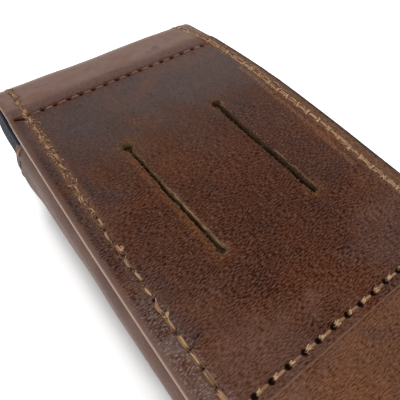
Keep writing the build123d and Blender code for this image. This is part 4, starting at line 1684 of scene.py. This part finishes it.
topLook = {"gap": 0.14, "width": 0.66, "lift": 0.1, "tint": (0.2, 0.6), "bright": 0.0}
bottomLook = {"gap": 0.12, "width": 0.70, "lift": 0.2, "tint": (0.3, 0.6), "bright": 1.6}
underLook = {"gap": 0.14, "width": 0.9, "lift": 0.6, "tint": (0.25, 0.6), "bright": 0.0}
sewRow(topRow, coverSurface, "threadTopRow", ["top_row_seam"], 103, topLook, mutedThread)
sewRow(bottomRow, coverSurface, "threadBottomRow", ["bottom_row_seam"], 104, bottomLook,
       brownThread)


def slotFibres():
    # fine fibres stand out of the cut leather, most of them about the punched ends
    fuzz = Sewing(coverSurface, 110)
    rng = fuzz.rng
    for slot in slots["places"]:
        ring = slotRing(slot, 0.12)
        for one, two in zip(ring, np.roll(ring, -1, axis=0)):
            part = Stretch(one, two)
            atEnd = abs(one[1] - slotV) > slots["holeY"] - 1.0
            for _ in range(rng.poisson(part.length * (7.0 if atEnd else 2.6))):
                foot = part.at(rng.uniform()) - part.side * rng.uniform(-0.15, 0.5 + 0.4 * atEnd)
                turn = rng.normal(0, 0.8)
                way = -1 if rng.uniform() < 0.6 else 0.7
                reach = part.side * way * math.cos(turn) + part.run * math.sin(turn)
                fuzz.fibre(foot, foot + reach * rng.uniform(0.3, 0.8), (0.11, 0.2), (0.05, 0.25),
                           (-0.1, 0.9))
    # the right lips have lifted: long pale threads of leather lie along them; on the first slot their
    # paler tint is partly a painted highlight
    for slot, count, high, tints in zip(slots["places"], (30, 16), (3, -6), ((0.6, 1.3), (0.3, 0.9))):
        for _ in range(count):
            low = slotV + rng.uniform(-21, high)
            ends = np.array([low, low + rng.uniform(1.2, 3.6)])
            x = slotMiddle(ends, slot) + slot[2] + rng.uniform(-0.12, 0.28)
            fuzz.fibre((x[0], ends[0]), (x[1], ends[1]), (0.14, 0.22), (0.08, 0.2), tints)
    made = fuzz.mesh("slotFibres", looseFibres)
    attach(made, "case")


slotFibres()
sewRow(frontSeam, frontSurface, "threadFront", ["front_seam"], 105, underLook)
sewRow(mouthHoles, frontSurface, "threadMouth", ["mouth_seam"], 106, underLook)


def hemSurface(side):
    def surface(x, v, up):
        # x is the place along the case here, v is the height on the wall
        start = gusset["topZ"] - gusset["bend"]
        turn = np.clip((v - start) / gusset["bend"], 0, quarterTurn)
        reach = gusset["bend"] + wallLean(x, np.minimum(v, start)) * np.cos(turn) - 0.15 + up
        middle = gusset["half"] + gusset["bulge"] - gusset["bend"]
        height = np.minimum(v, start) + reach * np.sin(turn)
        points = np.stack([side * (middle + reach * np.cos(turn)), x, height], -1)
        along = spread(-side * np.sin(turn), 0.0, np.cos(turn))
        away = spread(side * np.cos(turn), 0.0, np.sin(turn))
        return settle(points), spread(0 * v, 1.0, 0.0), along, away
    return surface


def sewHems():
    y = gusset["endY"] - gusset["hemRow"]
    heights = [*np.linspace(9.8, 32.8, 6), 36.9]
    sewing = Sewing(None, 107)
    for side in (-1, 1):
        sewing.surface = hemSurface(side)
        for low, high in zip(heights, heights[1:]):
            sewing.stitch((y, low + 0.4), (y, high - 0.4), width=0.8,
                          tint=sewing.rng.uniform(0.2, 0.6))
    sewing.piece("threadHems", ["gusset_hem_seams"], ridesCase)


sewHems()
print("seams sewn")


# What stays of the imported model: boards and magnets, each with its own finish
def refinished(nodeName, material):
    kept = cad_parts[nodeName]
    kept.data.materials.clear()
    kept.data.materials.append(material)
    return kept


for nodeName in ("back_board", "front_board", "flap_board"):
    board = refinished(nodeName, greyBoard)
for nodeName in ("front_magnets", "flap_magnets"):
    discs = refinished(nodeName, nickelMagnet)

# Studio
studio = {
    "floorSize": 3.0,
    "floorDrop": 0.00005,  # keeps the floor just clear of the flap
    "worldStrength": 0.62,
    "aim": (0.0, 0.0, 0.02),
    "key": {"place": (0.45, 0.55, 0.75), "size": 0.7, "power": 3.2},
    "fill": {"place": (-0.7, -0.2, 0.5), "size": 0.6, "power": 1.0},
}


def makeFloor():
    finish = Finish(bpy.data.materials.new("paperFloor"))
    fibre = finish.noise(finish.node("TexCoord", out="Object"), 60.0, 3.0)
    paper = finish.node("BsdfDiffuse", {"Color": fibre.ramp((0.3, (0.83,) * 3), (0.7, (0.86,) * 3))})
    # the glow gives way where something stands close, so the paper keeps a tight painted shadow there
    close, wider = (finish.node("AmbientOcclusion", {"Distance": reach}, "AO", samples=12)
                    for reach in (0.009, 0.024))
    clear = close.span(0.42, 0.90, 0.0, 0.90) * wider.span(0.45, 0.90, 0.45, 1.0)
    glow = finish.node("Emission", {"Color": (1, 1, 1), "Strength": clear})
    bare = finish.node("BsdfTransparent", {"Color": (0, 0, 0)})
    extra = finish.node("MixShader", {"Fac": finish.seenPlainly(), 1: bare, 2: glow})
    finish.node("OutputMaterial", {"Surface": finish.node("AddShader", {0: paper, 1: extra})})
    half = studio["floorSize"] / 2
    mesh = bpy.data.meshes.new("floor")
    mesh.from_pydata([(-half, -half, 0), (half, -half, 0), (half, half, 0), (-half, half, 0)], [],
                     [(0, 1, 2, 3)])
    mesh.materials.append(finish.owner)
    floor = bpy.data.objects.new("floor", mesh)
    floor.location.z = -studio["floorDrop"]
    bpy.context.scene.collection.objects.link(floor)


def makeWorld():
    # the room lights the case softly and is seen as plain white
    world = bpy.data.worlds.new("studioLight")
    bpy.context.scene.world = world
    finish = Finish(world)
    room, white = (finish.node("Background", {"Color": (1, 1, 1), "Strength": strength})
                   for strength in (studio["worldStrength"], 1.0))
    mixed = finish.node("MixShader", {"Fac": finish.seenPlainly(), 1: room, 2: white})
    finish.node("OutputWorld", {"Surface": mixed})


def makeLamp(name, look):
    data = bpy.data.lights.new(name, "AREA")
    data.shape = "DISK"
    data.size = look["size"]
    data.energy = look["power"]
    lamp = bpy.data.objects.new(name, data)
    lamp.location = look["place"]
    ahead = Vector(studio["aim"]) - Vector(look["place"])
    lamp.rotation_euler = ahead.to_track_quat("-Z", "Y").to_euler()
    bpy.context.scene.collection.objects.link(lamp)


# The camera stands close over the case's left side and looks down across it
camera = {"place": (-47.786, -40.35, 122.964), "yaw": 38.919, "pitch": 54.265, "roll": 2.886,
          "lens": 35.284}


def makeCamera():
    yaw, pitch, roll = (math.radians(camera[k]) for k in ("yaw", "pitch", "roll"))
    ahead = Vector((math.sin(yaw) * math.cos(pitch), math.cos(yaw) * math.cos(pitch),
                    -math.sin(pitch)))
    right = Vector((math.cos(yaw), -math.sin(yaw), 0))
    up = right.cross(ahead)
    tiltedRight = right * math.cos(roll) + up * math.sin(roll)
    tiltedUp = up * math.cos(roll) - right * math.sin(roll)
    turn = Matrix((tiltedRight, tiltedUp, -ahead)).transposed().to_4x4()
    data = bpy.data.cameras.new("photoCamera")
    data.sensor_width = 36.0
    data.lens = camera["lens"]
    data.clip_start = 0.005
    made = bpy.data.objects.new("photoCamera", data)
    made.matrix_world = Matrix.Translation(Vector(camera["place"]) * mm) @ turn
    bpy.context.scene.collection.objects.link(made)
    bpy.context.scene.camera = made


makeFloor()
makeWorld()
makeLamp("keyLamp", studio["key"])
makeLamp("fillLamp", studio["fill"])
makeCamera()
bpy.context.scene.view_settings.view_transform = "Standard"
print("studio set")
